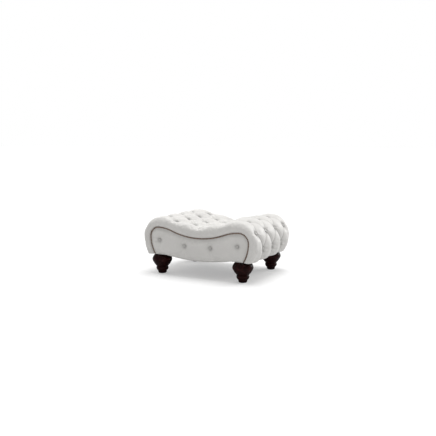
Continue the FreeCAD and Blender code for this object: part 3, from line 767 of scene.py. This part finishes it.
def cloth_sheet(points, free, closed):
    """A sheet of quads through a grid of points in millimetres, held at each by 1 less its freedom."""
    quads = grid_quads(*free.shape, closed)[..., [0, 3, 2, 1]]
    mesh = bpy.data.meshes.new("cloth")
    mesh.from_pydata(points.reshape(-1, 3) / 1000, [], quads.reshape(-1, 4).tolist())
    sheet = bpy.data.objects.new("cloth", mesh)
    bpy.context.scene.collection.objects.link(sheet)
    held = sheet.vertex_groups.new(name="held")
    level = np.round((1 - free.ravel()) * CLOTH_HOLDS)
    for share in range(CLOTH_HOLDS + 1):
        held.add(np.nonzero(level == share)[0].tolist(), share / CLOTH_HOLDS, "REPLACE")
    return sheet


def blown_up(sheet, slack):
    """Points of the sheet in millimetres after air pressure has filled it; slack is its spare share."""
    cloth = sheet.modifiers.new("stuffing", "CLOTH")
    for key, value in CLOTH_SETTINGS.items():
        setattr(cloth.settings, key, value)
    cloth.settings.vertex_group_mass = sheet.vertex_groups[0].name
    cloth.settings.shrink_min = -slack
    cloth.settings.effector_weights.gravity = 0
    cloth.collision_settings.use_collision = False
    cloth.collision_settings.use_self_collision = False
    scene = bpy.context.scene
    scene.frame_start, scene.frame_end = 1, CLOTH_FRAMES
    cloth.point_cache.frame_start, cloth.point_cache.frame_end = 1, CLOTH_FRAMES
    for number in range(1, CLOTH_FRAMES + 1):
        scene.frame_set(number)
    shown = sheet.evaluated_get(bpy.context.evaluated_depsgraph_get())
    points = np.empty(len(sheet.data.vertices) * 3)
    shown.data.vertices.foreach_get("co", points)
    mesh = sheet.data
    bpy.data.objects.remove(sheet)
    bpy.data.meshes.remove(mesh)
    scene.frame_set(1)
    return points * 1000


def stuffed(points, free, closed, slim, slack, cap):
    """Blows up a grid of points in millimetres as cloth, and gives the grid back.

    free is 1 where a point may move. The grid starts slimmer by slim, the cloth is larger by the share slack,
    and no point moves more than cap. The cloth has every second row and column, and the points between take
    the movement of their neighbours.
    """
    along = np.gradient(points, axis=0)
    beside = (np.roll(points, -1, 1) - np.roll(points, 1, 1)) if closed else np.gradient(points, axis=1)
    normal = np.cross(along, beside)
    normal /= np.maximum(np.linalg.norm(normal, axis=2, keepdims=True), 1e-9)
    begin = points - normal * free[..., None] * slim
    coarse = begin[::2, ::2]
    step = blown_up(cloth_sheet(coarse, free[::2, ::2], closed), slack).reshape(coarse.shape) - coarse
    step *= np.minimum(1, cap / np.maximum(np.linalg.norm(step, axis=2, keepdims=True), 1e-9))
    full = np.zeros(points.shape)
    full[::2, ::2] = step
    full[1:-1:2, ::2] = (step[:-1] + step[1:]) / 2
    nearby = np.roll(full, -1, 1) + np.roll(full, 1, 1)
    last = points.shape[1] if closed else points.shape[1] - 1
    full[:, 1:last:2] = nearby[:, 1:last:2] / 2
    return begin + full


class TUFTING_OT_cover(bpy.types.Operator):
    """Builds the diamond-tufted cover with its rolled border"""

    bl_idname = "footstool.tufted_cover"
    bl_label = "Tufted cover"

    def execute(self, context):
        look = context.scene.footstool_tufting
        points, shade, free, rows, across, field_start = cover_rings(look)
        points = stuffed(points, free, True, slim=2.5, slack=0.025, cap=8.0)
        faces = cover_faces(*shade.shape, rows, across, field_start)
        finish = leather("seat leather", look, True)
        # the fold attribute carries the painted shade of the folds and button wells
        piece = to_mesh("tufted_cover_leather", points, faces, finish, fold=shade)
        put_on(piece, "seat_leather", "tufted_cover")
        return {"FINISHED"}


def belly_drop(x):
    """How far a facing's bottom edge hangs below the frame."""
    radius = (BELLY_HALF**2 + BELLY_DROP**2) / (2 * BELLY_DROP)
    return np.maximum(BELLY_DROP - radius + np.sqrt(radius**2 - np.minimum(x**2, BELLY_HALF**2)), 0)


def facing_grid():
    """Places (x, z) on a facing from its bottom edge up to the nail line, and the places on that line."""
    share = np.linspace(-1, 1, FACING_COLUMNS + 1)
    reach = share * (FIELD_END + FACING_FLANK)
    low = np.maximum(np.abs(reach) - FIELD_END, 0) / FACING_FLANK
    # the middle column is kept just off 0 and counts with the right half
    distance = np.where(reach == 0, JUST_OFF_MIDDLE, np.clip(reach, -FIELD_END, FIELD_END))
    top_x, top_z = lifted(distance, -SOFT_GAP, low)
    bottom_x = share * top_x[-1]
    up = np.linspace(0, 1, FACING_LEVELS + 1)[:, None]
    grid = mixed(bottom_x, top_x, up), mixed(COVER_BOTTOM_Z - belly_drop(bottom_x), top_z, up)
    return *grid, np.stack([top_x, top_z], -1)


def facing_depth(x, z, outline):
    """How far each place of a facing stands out, its painted shade along the nail line and in the button
    dimples, and its freedom to swell.
    """
    spots = np.stack([x, z], -1).reshape(-1, 2)
    fine = np.concatenate([mixed(outline[:-1], outline[1:], share) for share in (0, 0.25, 0.5, 0.75)])
    nearest = [np.linalg.norm(part[:, None] - fine, axis=-1).min(1) for part in np.array_split(spots, 24)]
    inwards = np.concatenate(nearest).reshape(x.shape)
    above = z - COVER_BOTTOM_Z + belly_drop(x) - FACING_HEM
    roll = np.sin(np.pi / 2 * np.clip((inwards - FACING_FLAT) / FACING_ROLL, 0, 1)) ** 0.85
    hem = np.sin(np.pi / 2 * np.clip(above / FACING_BOTTOM_ROLL, 0, 1)) ** 0.7
    depth = FACING_CROWN * roll * hem
    free = smooth(inwards / FACING_HELD) * smooth(above / FACING_HELD)
    # painted shade along the nail line and in the dimples round the buttons
    shade = bell(inwards, SEAM_SHADE_WIDTH) * 0.5
    for button_x, button_z in FACING_BUTTONS:
        r = np.hypot(x - button_x, z - button_z)
        angle = np.arctan2(z - button_z, x - button_x)
        tilt = math.copysign(PULL_TILT, button_x)
        waves = np.cos(5 * (angle - tilt)) + 0.5 * np.cos(8 * angle)
        pulls = np.exp(-((r - PULL_R) ** 2) / PULL_SPREAD) * waves
        dent = DIMPLE_DEPTH * bell(r, DIMPLE_R) + DISH_DEPTH * bell(r, DISH_R)
        depth = depth - dent + PULL_DEPTH * pulls * roll
        free *= 1 - bell(r, HELD_R)
        shade = np.maximum(shade, bell(r, DIMPLE_SHADE_R))
    return np.maximum(depth, 0), shade, free


def facing_shell(front, shade, back_y):
    """A facing from the grid of its front: closed round its rim and flat at the back, with its painted shade.
    """
    number = np.arange(shade.size).reshape(shade.shape)
    rim = np.concatenate([number[0], number[-1, -2:0:-1]])
    following = np.roll(rim, -1)
    back = front.reshape(-1, 3)[rim] * (1, 0, 1) + (0, back_y, 0)
    start = number.size + np.arange(len(rim))
    walls = np.stack([following, rim, start, np.roll(start, -1)], -1)
    faces = [*grid_quads(*shade.shape).reshape(-1, 4), *walls, start[::-1]]
    points, faces, kept = welded(np.concatenate([front.reshape(-1, 3), back]), faces)
    return (points, faces), np.concatenate([shade.ravel(), np.zeros(len(rim))])[kept]


class TUFTING_OT_facings(bpy.types.Operator):
    """Builds the padded facings at the front and back"""

    bl_idname = "footstool.facings"
    bl_label = "Facings"

    def execute(self, context):
        finish = leather("facing leather", context.scene.footstool_tufting, True)
        x, z, outline = facing_grid()
        depth, shade, free = facing_depth(x, z, outline)
        grid = np.stack([x, NAIL_SEAT_Y + depth, z], -1)
        # the columns at the bottom corners stay out of the cloth, as the first and last are single points
        grid[:, 2:-2] = stuffed(grid[:, 2:-2], free[:, 2:-2], False, slim=1.5, slack=0.01, cap=5.0)
        for name, side in SIDES:
            shape, folds = facing_shell(grid * (1, side, 1), shade, side * SOFT_BACK_Y)
            names = {"slot": "facing_leather", "node": f"{name}_facing_pad"}
            # the fold attribute carries the painted shade of the seam and the dimples
            piece = dressed(f"{name}_facing_leather", shape, finish, **names, crease=60, fold=folds)
        return {"FINISHED"}


# Buttons, nails and other copies


def copying_tree(name, along_line):
    """A node tree that sets copies of a shape on points, or along the line through them, and paints them."""
    tree = bpy.data.node_groups.new(name, "GeometryNodeTree")
    kinds = {"Geometry": "Geometry", "Shape": "Object", "Finish": "Material"}
    if along_line:
        kinds["Spacing"] = "Float"
    for key, kind in kinds.items():
        tree.interface.new_socket(name=key, in_out="INPUT", socket_type=f"NodeSocket{kind}")
    tree.interface.new_socket(name="Geometry", in_out="OUTPUT", socket_type="NodeSocketGeometry")
    nodes = Nodes(tree)
    given = nodes.node("NodeGroupInput", {}).outputs
    points = given["Geometry"]
    if along_line:
        line = nodes.add("GeometryNodeMeshToCurve", 0, {"Mesh": points})
        even = {"Curve": line, "Length": given["Spacing"]}
        points = nodes.add("GeometryNodeResampleCurve", 0, even, mode="LENGTH")
    toward = nodes.add("GeometryNodeInputNamedAttribute", 0, {"Name": "outward"}, data_type="FLOAT_VECTOR")
    turn = nodes.add("FunctionNodeAlignRotationToVector", 0, {"Vector": toward}, axis="Z")
    one = nodes.add("GeometryNodeObjectInfo", "Geometry", {"Object": given["Shape"]})
    many = nodes.add("GeometryNodeInstanceOnPoints", 0, {"Points": points, "Instance": one, "Rotation": turn})
    real = nodes.add("GeometryNodeRealizeInstances", 0, {"Geometry": many})
    painted = nodes.add("GeometryNodeSetMaterial", 0, {"Geometry": real, "Material": given["Finish"]})
    nodes.node("NodeGroupOutput", {"Geometry": painted})
    return tree


def copied(name, pattern, finish, places, directions, spacing=None):
    """A plain piece of copies of a pattern, each turned from +Z to its place's direction.

    They stand on the places or, where a spacing is given, that far apart on the line through them.
    """
    edges = [] if spacing is None else [(i, i + 1) for i in range(len(places) - 1)]
    mesh = bpy.data.meshes.new("places")
    mesh.from_pydata(np.asarray(places, float) / 1000, edges, [])
    give_values(mesh, "outward", directions, "FLOAT_VECTOR")
    carrier = bpy.data.objects.new("places", mesh)
    bpy.context.scene.collection.objects.link(carrier)
    modifier = carrier.modifiers.new("copies", "NODES")
    modifier.node_group = copying_tree(f"{name} on places", spacing is not None)
    values = {"Shape": pattern, "Finish": finish, "Spacing": spacing}
    for socket in modifier.node_group.interface.items_tree:
        if socket.in_out == "INPUT" and socket.name in values:
            modifier[socket.identifier] = values[socket.name]
    mesh = bpy.data.meshes.new_from_object(carrier.evaluated_get(bpy.context.evaluated_depsgraph_get()))
    if not len(mesh.vertices):
        raise RuntimeError(f"the node tree made nothing for {name}")
    mesh.name = name
    piece = bpy.data.objects.new(name, mesh)
    bpy.context.scene.collection.objects.link(piece)
    bpy.data.objects.remove(carrier)
    return piece


def tuft_places(lift):
    """Points and normals of the seat's buttons at a lift."""
    spots = []
    for row in range(-LAST_ROW, LAST_ROW + 1):
        last = LAST_BUTTON - row % 2
        spots += [(row * TUFT_PITCH, k * HALF_PITCH) for k in range(-last, last + 1, 2)]
    distance, y = np.array(spots).T
    x, z = lifted(distance, lift)
    return np.stack([x, y, z], -1), outward(distance)


# A button from its back up and a nail head from its rim up: shares of its radius and height
BUTTON_RIM = ((0.0, 0.0), (0.93, 0.0), (1.0, 0.18), (0.985, 0.42))
BUTTON_PROFILE = (*BUTTON_RIM, (0.90, 0.68), (0.70, 0.88), (0.38, 0.98), (0.0, 1.0))
BUTTON_SIDES = 24
BUTTON_GATHER = 0.98
BUTTON_GATHER_TOP = 0.6
NAIL_PROFILE = ((1.0, 0.0), (0.96, 0.35), (0.70, 0.78), (0.0, 1.0))
NAIL_SIDES = 10


class TUFTING_OT_buttons(bpy.types.Operator):
    """Builds the covered buttons of the seat and of the facings"""

    bl_idname = "footstool.buttons"
    bl_label = "Buttons"

    def execute(self, context):
        look = context.scene.footstool_tufting
        # the buttons' leather is darkened to 0.72 of the hide as painted shade, for the shadow they sit in
        finish = leather("button leather with painted shade", look, False, 0.72)
        profile = np.array(BUTTON_PROFILE)
        points, faces = lathe(profile * (look.button_radius * 1000, look.button_height * 1000), BUTTON_SIDES)
        # the leather is gathered over the rim
        points[profile[:, 1] < BUTTON_GATHER_TOP, 1::2, :2] *= BUTTON_GATHER
        button = to_mesh("button", *welded(points, faces)[:2], finish)
        groups = {"tuft_buttons": tuft_places(BUTTON_SEAT_LIFT)}
        for name, side in SIDES:
            places = [(x, side * FACING_BUTTON_Y, z) for x, z in FACING_BUTTONS]
            groups[f"{name}_facing_buttons"] = (places, [(0, side, 0)] * len(places))
        for node, (places, directions) in groups.items():
            piece = copied(f"{node}_covered", button, finish, places, directions)
            put_on(piece, "button_leather", node)
        bpy.data.objects.remove(button)
        return {"FINISHED"}


class NAILS_OT_trim(bpy.types.Operator):
    """Sets a row of touching nail heads along each facing's edge"""

    bl_idname = "footstool.nail_trim"
    bl_label = "Nail trim"

    def execute(self, context):
        look = context.scene.footstool_nails
        finish = bronze("nail bronze", look)
        profile = np.array(NAIL_PROFILE)
        points, faces = lathe(profile * (look.head_radius * 1000, look.head_height * 1000), NAIL_SIDES)
        points, faces, kept = welded(points, faces)
        head = to_mesh("nail head", points, faces, finish, edge=np.repeat(profile[:, 1], NAIL_SIDES)[kept])
        distance, low = stations(*NAIL_LINE_STEPS)
        x, z = lifted(distance, 0.0, low, COVER_BOTTOM_Z + NAIL_END_ABOVE_BOTTOM)
        for name, side in SIDES:
            places = np.stack([x, np.full(len(x), side * (NAIL_SEAT_Y + SOFT_GAP)), z], -1)
            directions = np.tile([0, side, 0], (len(x), 1))
            piece = copied(f"{name}_nail_heads", head, finish, places, directions, look.spacing)
            put_on(piece, "nail_bronze", f"{name}_nail_trim")
        bpy.data.objects.remove(head)
        return {"FINISHED"}


# Outline of a foot from its glide up, in stretches that meet in corners: radius, height, how far it is rubbed
FOOT_STRETCHES = (
    ((28.0, 4.0, 0.8), (29.0, 4.8, 0.9)),
    ((29.0, 4.8, 0.9), (30.4, 13.0, 0.1), (32.2, 19.2, 0.7)),
    ((32.2, 19.2, 0.7), (38.6, 25.0, 0.1), (43.0, 37.5, 0.9), (38.9, 49.6, 0.1), (38.2, 51.0, 0.0)),
    ((38.2, 51.0, 0.0), (43.0, 53.0, 0.5)),
    ((43.0, 53.0, 0.5), (62.0, 79.0, 0.2), (70.0, 97.0, 1.0), (61.0, 123.6, 0.1), (44.5, 139.6, 0.2)),
)
FOOT_RING_STEP = 4.0


def turned_curve(points):
    """Rows of radius, height and rubbing along a smooth curve through the points, without its last."""
    points = np.asarray(points, float)
    lengths = np.linalg.norm(np.diff(points[:, :2], axis=0), axis=1)
    along = np.concatenate([[0], np.cumsum(lengths)])
    slopes = np.gradient(points, along, axis=0, edge_order=min(2, len(lengths)))
    rows = []
    for k, length in enumerate(lengths):
        for t in np.arange(0, 1, 1 / max(1, round(length / FOOT_RING_STEP))):
            straight = mixed(points[k], points[k + 1], smooth(t))
            rows.append(straight + length * t * (1 - t) * (slopes[k] * (1 - t) - slopes[k + 1] * t))
    return rows


class FEET_OT_turned(bpy.types.Operator):
    """Turns the four feet and finishes their glides"""

    bl_idname = "footstool.turned_feet"
    bl_label = "Turned feet"

    def execute(self, context):
        look = context.scene.footstool_feet
        finish = stained_wood("foot mahogany", look)
        rows = [row for stretch in FOOT_STRETCHES for row in turned_curve(stretch)]
        profile = np.array([*rows, FOOT_STRETCHES[-1][-1]])
        points, faces = lathe(profile, look.sides)
        rubbed = np.repeat(profile[:, 2], look.sides)
        for name, side in SIDES:
            for end, foot_x in FOOT_ENDS:
                node = f"{name}_{end}_foot"
                shape = points + (foot_x, side * FOOT_Y, 0), faces
                dressed(f"{node}_turned", shape, finish, "foot_wood", node, crease=38, edge=rubbed)
        surface = {"roughness": 0.5, "metallic": 0.0, "grain_scale": 900.0, "grain_depth": 0.0002}
        repaint("foot_glides", plain_part("glide nylon", (0.05, 0.05, 0.05), **surface))
        return {"FINISHED"}


# The filling and the frame

# Strands of a webbing strap from side to side, 1 where it has a dark stripe, and the twine with its knot
STRAP_STRIPES = (0, 1, 0, 0, 1, 0)
TWINE_KNOT = ((2.0, 0.0), (4.2, 1.5), (4.4, 4.0), (2.6, 6.4), (1.6, 7.2))
TWINE_PROFILE = (*TWINE_KNOT, (1.6, BUTTON_SEAT_LIFT - KNOT_LIFT))


def slab(distance, low, low_lift, high_lift, half, steps):
    """A layer between two lifts over stations of the seat, closed all round, with steps across it."""
    y = np.linspace(-half, half, steps + 1)
    y = np.concatenate([y, y[::-1]])
    x, z = lifted(distance[:, None], np.repeat([high_lift, low_lift], steps + 1), low[:, None])
    return np.stack([x, np.broadcast_to(y, x.shape), z], -1), tube(*x.shape)


class FILLING_OT_deck(bpy.types.Operator):
    """Builds the foam, hessian, webbing and twine under the cover"""

    bl_idname = "footstool.filling"
    bl_label = "Filling"

    def execute(self, context):
        whole = stations(*FILLING_STEPS)
        shape = slab(*whole, FOAM_LIFT, COVER_UNDER_LIFT - SOFT_GAP, PANEL_FACE_Y, steps=8)
        foam = dressed("seat_foam_block", shape, open_foam("upholstery foam"), "foam", "seat_foam", crease=40)

        jute = woven("jute hessian", 1.6, (0.42, 0.30, 0.16), (0.20, 0.13, 0.06))
        shape = slab(*whole, HESSIAN_LIFT, HESSIAN_LIFT + HESSIAN_THICKNESS, DECK_HALF, steps=8)
        hessian = dressed("hessian_cloth", shape, jute, "hessian", "deck_hessian", crease=40)

        points, faces = [], []
        for k in range(-LAST_ROW - 1, LAST_ROW + 1):
            middle = (k + 0.5) * TUFT_PITCH
            _, _, radius, bend, _ = arc_at(middle)
            reach = STRAP_WIDTH / 2 * (radius + bend * SEAT_LIFT) / (radius + bend * STRAP_LIFT)
            strands = np.linspace(middle - reach, middle + reach, len(STRAP_STRIPES))
            lifts = STRAP_LIFT, STRAP_LIFT + STRAP_THICKNESS
            strap, strap_faces = slab(strands, 0 * strands, *lifts, DECK_HALF, steps=1)
            faces += [[v + len(points) for v in face] for face in strap_faces]
            points += [*strap.reshape(-1, 3)]
        stripes = np.repeat(STRAP_STRIPES, 4)
        brown, dark_brown, black = (0.30, 0.23, 0.15), (0.12, 0.09, 0.06), (0.03, 0.03, 0.03)
        webbing = woven("striped webbing", 1.2, brown, dark_brown, stripe=black)
        edge = np.tile(stripes, len(points) // len(stripes))
        names = {"slot": "webbing", "node": "webbing_straps"}
        dressed("webbing_straps_woven", (points, faces), webbing, **names, crease=40, edge=edge)

        flax = woven("flax twine", 0.8, (0.62, 0.54, 0.40), (0.36, 0.29, 0.18))
        tie = to_mesh("tie", *lathe(TWINE_PROFILE, 8, twist=0.3), flax)
        put_on(copied("tuft_ties_twine", tie, flax, *tuft_places(KNOT_LIFT)), "twine", "tuft_ties")
        bpy.data.objects.remove(tie)
        return {"FINISHED"}


# A staple's crown as an outline in y and z and half its width in x; it is driven home along -Z
STAPLE_OUTLINE = ((-6.0, -0.4), (-6.0, 0.2), (-5.5, 0.6), (5.5, 0.6), (6.0, 0.2), (6.0, -0.4))
STAPLE_HALF = 0.5
STAPLE_SINK = 0.85
RAIL_STAPLES = np.linspace(-174, 174, 13)
RAIL_STAPLE_INSET = 9.0
STRETCHER_STAPLES = np.linspace(-232, 232, 15)
STRETCHER_STAPLE_SINK = STAPLE_SINK + 0.3

# The dust cover keeps clear of the feet, and its two faces lie below the top of its place
DUST_NOTCH_X = FOOT_X - FOOT_TOP_R - 2.0
DUST_NOTCH_Y = FOOT_Y - FOOT_TOP_R - 2.0
DUST_FACES = (0.2, 0.8)
DUST_SAG = 0.25
DUST_RIPPLE = 0.15


def ruled(notch, reach, steps):
    """Lines of a grid from side to side, with some from each notch out to the edge."""
    outer = np.linspace(notch, reach, 8)
    return np.unique(np.concatenate([np.linspace(-notch, notch, steps + 1), outer, -outer]))


def dust_cover_shape(reach_x, reach_y, bottom, top):
    """The dust cover's points and faces, cut out round the feet, and its flat area in square metres."""
    columns, lines = ruled(DUST_NOTCH_X, reach_x, 36), ruled(DUST_NOTCH_Y, reach_y, 26)
    x, y = np.meshgrid(columns, lines, indexing="ij")
    inner = np.maximum(0, 1 - (x / reach_x) ** 4) * np.maximum(0, 1 - (y / reach_y) ** 4)
    sag = inner * (DUST_SAG + DUST_RIPPLE * np.sin(x / 23) * np.sin(y / 31 + x / 90))
    levels = [np.maximum(top - depth - sag, bottom) for depth in DUST_FACES]
    points = [np.stack([x, y, z], -1).reshape(-1, 3) for z in levels]
    middle_x, middle_y = (columns[1:] + columns[:-1]) / 2, (lines[1:] + lines[:-1]) / 2
    kept = (abs(middle_x)[:, None] < DUST_NOTCH_X) | (abs(middle_y) < DUST_NOTCH_Y)
    cells = grid_quads(*x.shape)[kept][:, [0, 3, 2, 1]].tolist()
    sides = {side for cell in cells for side in zip(cell, cell[1:] + cell[:1])}
    faces = cells + [[v + x.size for v in reversed(cell)] for cell in cells]
    faces += [(q, p, p + x.size, q + x.size) for p, q in sorted(sides) if (q, p) not in sides]
    area = (np.diff(columns)[:, None] * np.diff(lines))[kept].sum() / 1e6
    return welded(np.concatenate(points), faces)[:2], area


class FRAME_OT_parts(bpy.types.Operator):
    """Finishes the timber frame and its fixings, and stretches the dust cover"""

    bl_idname = "footstool.frame_parts"
    bl_label = "Frame and dust cover"

    def execute(self, context):
        sheet_wood = plywood("birch plywood")
        across_rail = timber("rail timber across", "y")
        block_wood = timber("block timber", "x")
        surface = {"roughness": 0.38, "metallic": 1.0, "grain_scale": 1400.0, "grain_depth": 0.0001}
        steel = plain_part("zinc plated steel", (0.55, 0.55, 0.56), **surface)
        for node in NODES:
            if node.endswith("_panel"):
                repaint(node, sheet_wood)
            elif node.endswith("_rail") or node == "bottom_stretcher":
                repaint(node, across_rail)
            elif node.endswith("_block"):
                repaint(node, block_wood)
            elif node in ("hanger_bolts", "bolt_nuts", "bolt_washers"):
                repaint(node, steel)
        self.stretch_dust_cover()
        self.staple_dust_cover(steel)
        return {"FINISHED"}

    def stretch_dust_cover(self):
        """A black cloth under the frame, cut round the feet, drawn up a little between its staples."""
        low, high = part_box("dust_cover")
        shape, area = dust_cover_shape(high[0] * 1000, high[1] * 1000, low[2] * 1000, high[2] * 1000)
        cloth = woven("black dust cloth", 0.7, (0.030, 0.030, 0.032), (0.010, 0.010, 0.011), 0.9)
        piece = dressed("dust_cover_cloth", shape, cloth, "dust_cloth", "dust_cover", crease=50)

    def staple_dust_cover(self, steel):
        """Staples hold the dust cover to the end rails and the stretcher."""
        _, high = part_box("dust_cover")
        edge_x, top = high[0] * 1000 - RAIL_STAPLE_INSET, high[2] * 1000
        places = [(x, y, top - STAPLE_SINK) for x in (-edge_x, edge_x) for y in RAIL_STAPLES]
        places += [(0.0, y, top - STRETCHER_STAPLE_SINK) for y in STRETCHER_STAPLES]
        points = [(x, y, z) for x in (-STAPLE_HALF, STAPLE_HALF) for y, z in STAPLE_OUTLINE]
        staple = to_mesh("staple", points, tube(2, len(STAPLE_OUTLINE)), steel)
        piece = copied("dust_cover_staples", staple, steel, places, np.tile([0, 0, -1], (len(places), 1)))
        crease_normals(piece, 30)
        put_on(piece, "steel")
        bpy.data.objects.remove(staple)


# The studio

# Azimuth 0 is at the front and 90 at the right end; all angles are in degrees, lengths in metres
CAMERA_PLACE = (2.008, -3.757, 0.931)
CAMERA_AZIMUTH = 28.04
CAMERA_HEIGHT = 7.40
CAMERA_SHIFT = (-0.0007, 0.0009)
CAMERA_REACH = 200
SENSOR_WIDTH = 36
FLOOR_HALF = 60


class STUDIO_OT_stage(bpy.types.Operator):
    """Lays the floor, hangs the light and sets the camera"""

    bl_idname = "footstool.stage"
    bl_label = "Floor, light and camera"

    def execute(self, context):
        look = context.scene.footstool_studio
        scene = context.scene
        scene.view_settings.view_transform = "Standard"
        half = FLOOR_HALF * 1000
        corners = [(-half, -half, 0), (half, -half, 0), (half, half, 0), (-half, half, 0)]
        to_mesh("floor", corners, [(0, 1, 2, 3)], self.floor_finish(look))
        scene.world = self.sky(look)
        self.hang("soft lamp", look.lamp, size=40, azimuth=185, height=84)
        self.hang("right rim lamp", look.rim, size=30, azimuth=148, height=22)
        self.hang("left rim lamp", look.rim * 0.6, size=40, azimuth=240, height=30)
        camera = bpy.data.objects.new("camera", bpy.data.cameras.new("camera"))
        camera.data.lens = look.lens
        camera.data.sensor_width = SENSOR_WIDTH
        camera.data.clip_end = CAMERA_REACH
        camera.data.shift_x, camera.data.shift_y = CAMERA_SHIFT
        camera.location = CAMERA_PLACE
        camera.rotation_euler = (math.radians(90 - CAMERA_HEIGHT), 0, math.radians(CAMERA_AZIMUTH))
        scene.collection.objects.link(camera)
        scene.camera = camera
        return {"FINISHED"}

    def hang(self, name, strength, size, azimuth, height):
        """Hangs a sun lamp of an angular size, at an azimuth and height."""
        lamp = bpy.data.objects.new(name, bpy.data.lights.new(name, "SUN"))
        lamp.data.energy = strength
        lamp.data.angle = math.radians(size)
        lamp.rotation_euler = (math.radians(90 - height), 0, math.radians(azimuth))
        bpy.context.scene.collection.objects.link(lamp)

    def sky(self, look):
        """Even light from all round, which the camera and clear things see as white."""
        world = bpy.data.worlds.new("studio")
        world.use_nodes = True
        nodes = Nodes(world.node_tree)
        ray = nodes.node("ShaderNodeLightPath", {}).outputs
        seen = nodes.math("MAXIMUM", ray["Is Camera Ray"], ray["Is Transmission Ray"])
        even = nodes.add("ShaderNodeBackground", 0, {"Color": (1, 1, 1), "Strength": look.sky})
        white = nodes.add("ShaderNodeBackground", 0, {"Color": (1, 1, 1), "Strength": 1.0})
        both = nodes.add("ShaderNodeMixShader", 0, {0: seen, 1: even, 2: white})
        nodes.node("ShaderNodeOutputWorld", {"Surface": both})
        return world

    def floor_finish(self, look):
        """Pale floor that keeps the stool's shadow and shows white to the camera where it is lit."""
        f = Finish("studio floor")
        cloud = f.ramp(f.noise(f.place(), 1.5, 3.0), 0.3, 0.7)
        color = f.mix(cloud, shaded(look.floor_color, 0.995), look.floor_color)
        base = f.add("ShaderNodeBsdfDiffuse", 0, {"Color": color, "Roughness": 0.0})
        ray = f.add("ShaderNodeLightPath", "Is Camera Ray")
        lift = {"Color": (1, 1, 1), "Strength": f.math("MULTIPLY", ray, look.floor_white)}
        return f.show(f.add("ShaderNodeAddShader", 0, {0: base, 1: f.add("ShaderNodeEmission", 0, lift)}))


class FOOTSTOOL_PT_panel(bpy.types.Panel):
    """Lists what may be changed and the steps that build the stool"""

    bl_idname = "FOOTSTOOL_PT_panel"
    bl_label = "Footstool"
    bl_space_type = "VIEW_3D"
    bl_region_type = "UI"
    bl_category = "Footstool"

    def draw(self, context):
        for name, group in GROUPS.items():
            box = self.layout.box()
            look = getattr(context.scene, name)
            for key in group.__annotations__:
                box.prop(look, key)
        for step in STEPS:
            self.layout.operator(step.bl_idname)


GROUPS = {
    "footstool_tufting": TUFTING_PG_look,
    "footstool_nails": NAILS_PG_look,
    "footstool_feet": FEET_PG_look,
    "footstool_studio": STUDIO_PG_look,
}
STEPS = (
    STUDIO_OT_stage,
    TUFTING_OT_cover,
    TUFTING_OT_facings,
    TUFTING_OT_buttons,
    NAILS_OT_trim,
    FEET_OT_turned,
    FILLING_OT_deck,
    FRAME_OT_parts,
)


def register():
    """Adds the classes and the scene's settings."""
    for cls in (*GROUPS.values(), *STEPS, FOOTSTOOL_PT_panel):
        bpy.utils.register_class(cls)
    for name, group in GROUPS.items():
        setattr(bpy.types.Scene, name, PointerProperty(type=group))


def unregister():
    """Takes them out again."""
    for name in GROUPS:
        delattr(bpy.types.Scene, name)
    for cls in reversed((*GROUPS.values(), *STEPS, FOOTSTOOL_PT_panel)):
        bpy.utils.unregister_class(cls)


def main():
    """Builds the stool step by step."""
    register()
    for step in STEPS:
        group, name = step.bl_idname.split(".")
        getattr(getattr(bpy.ops, group), name)()


if __name__ == "__main__":
    main()
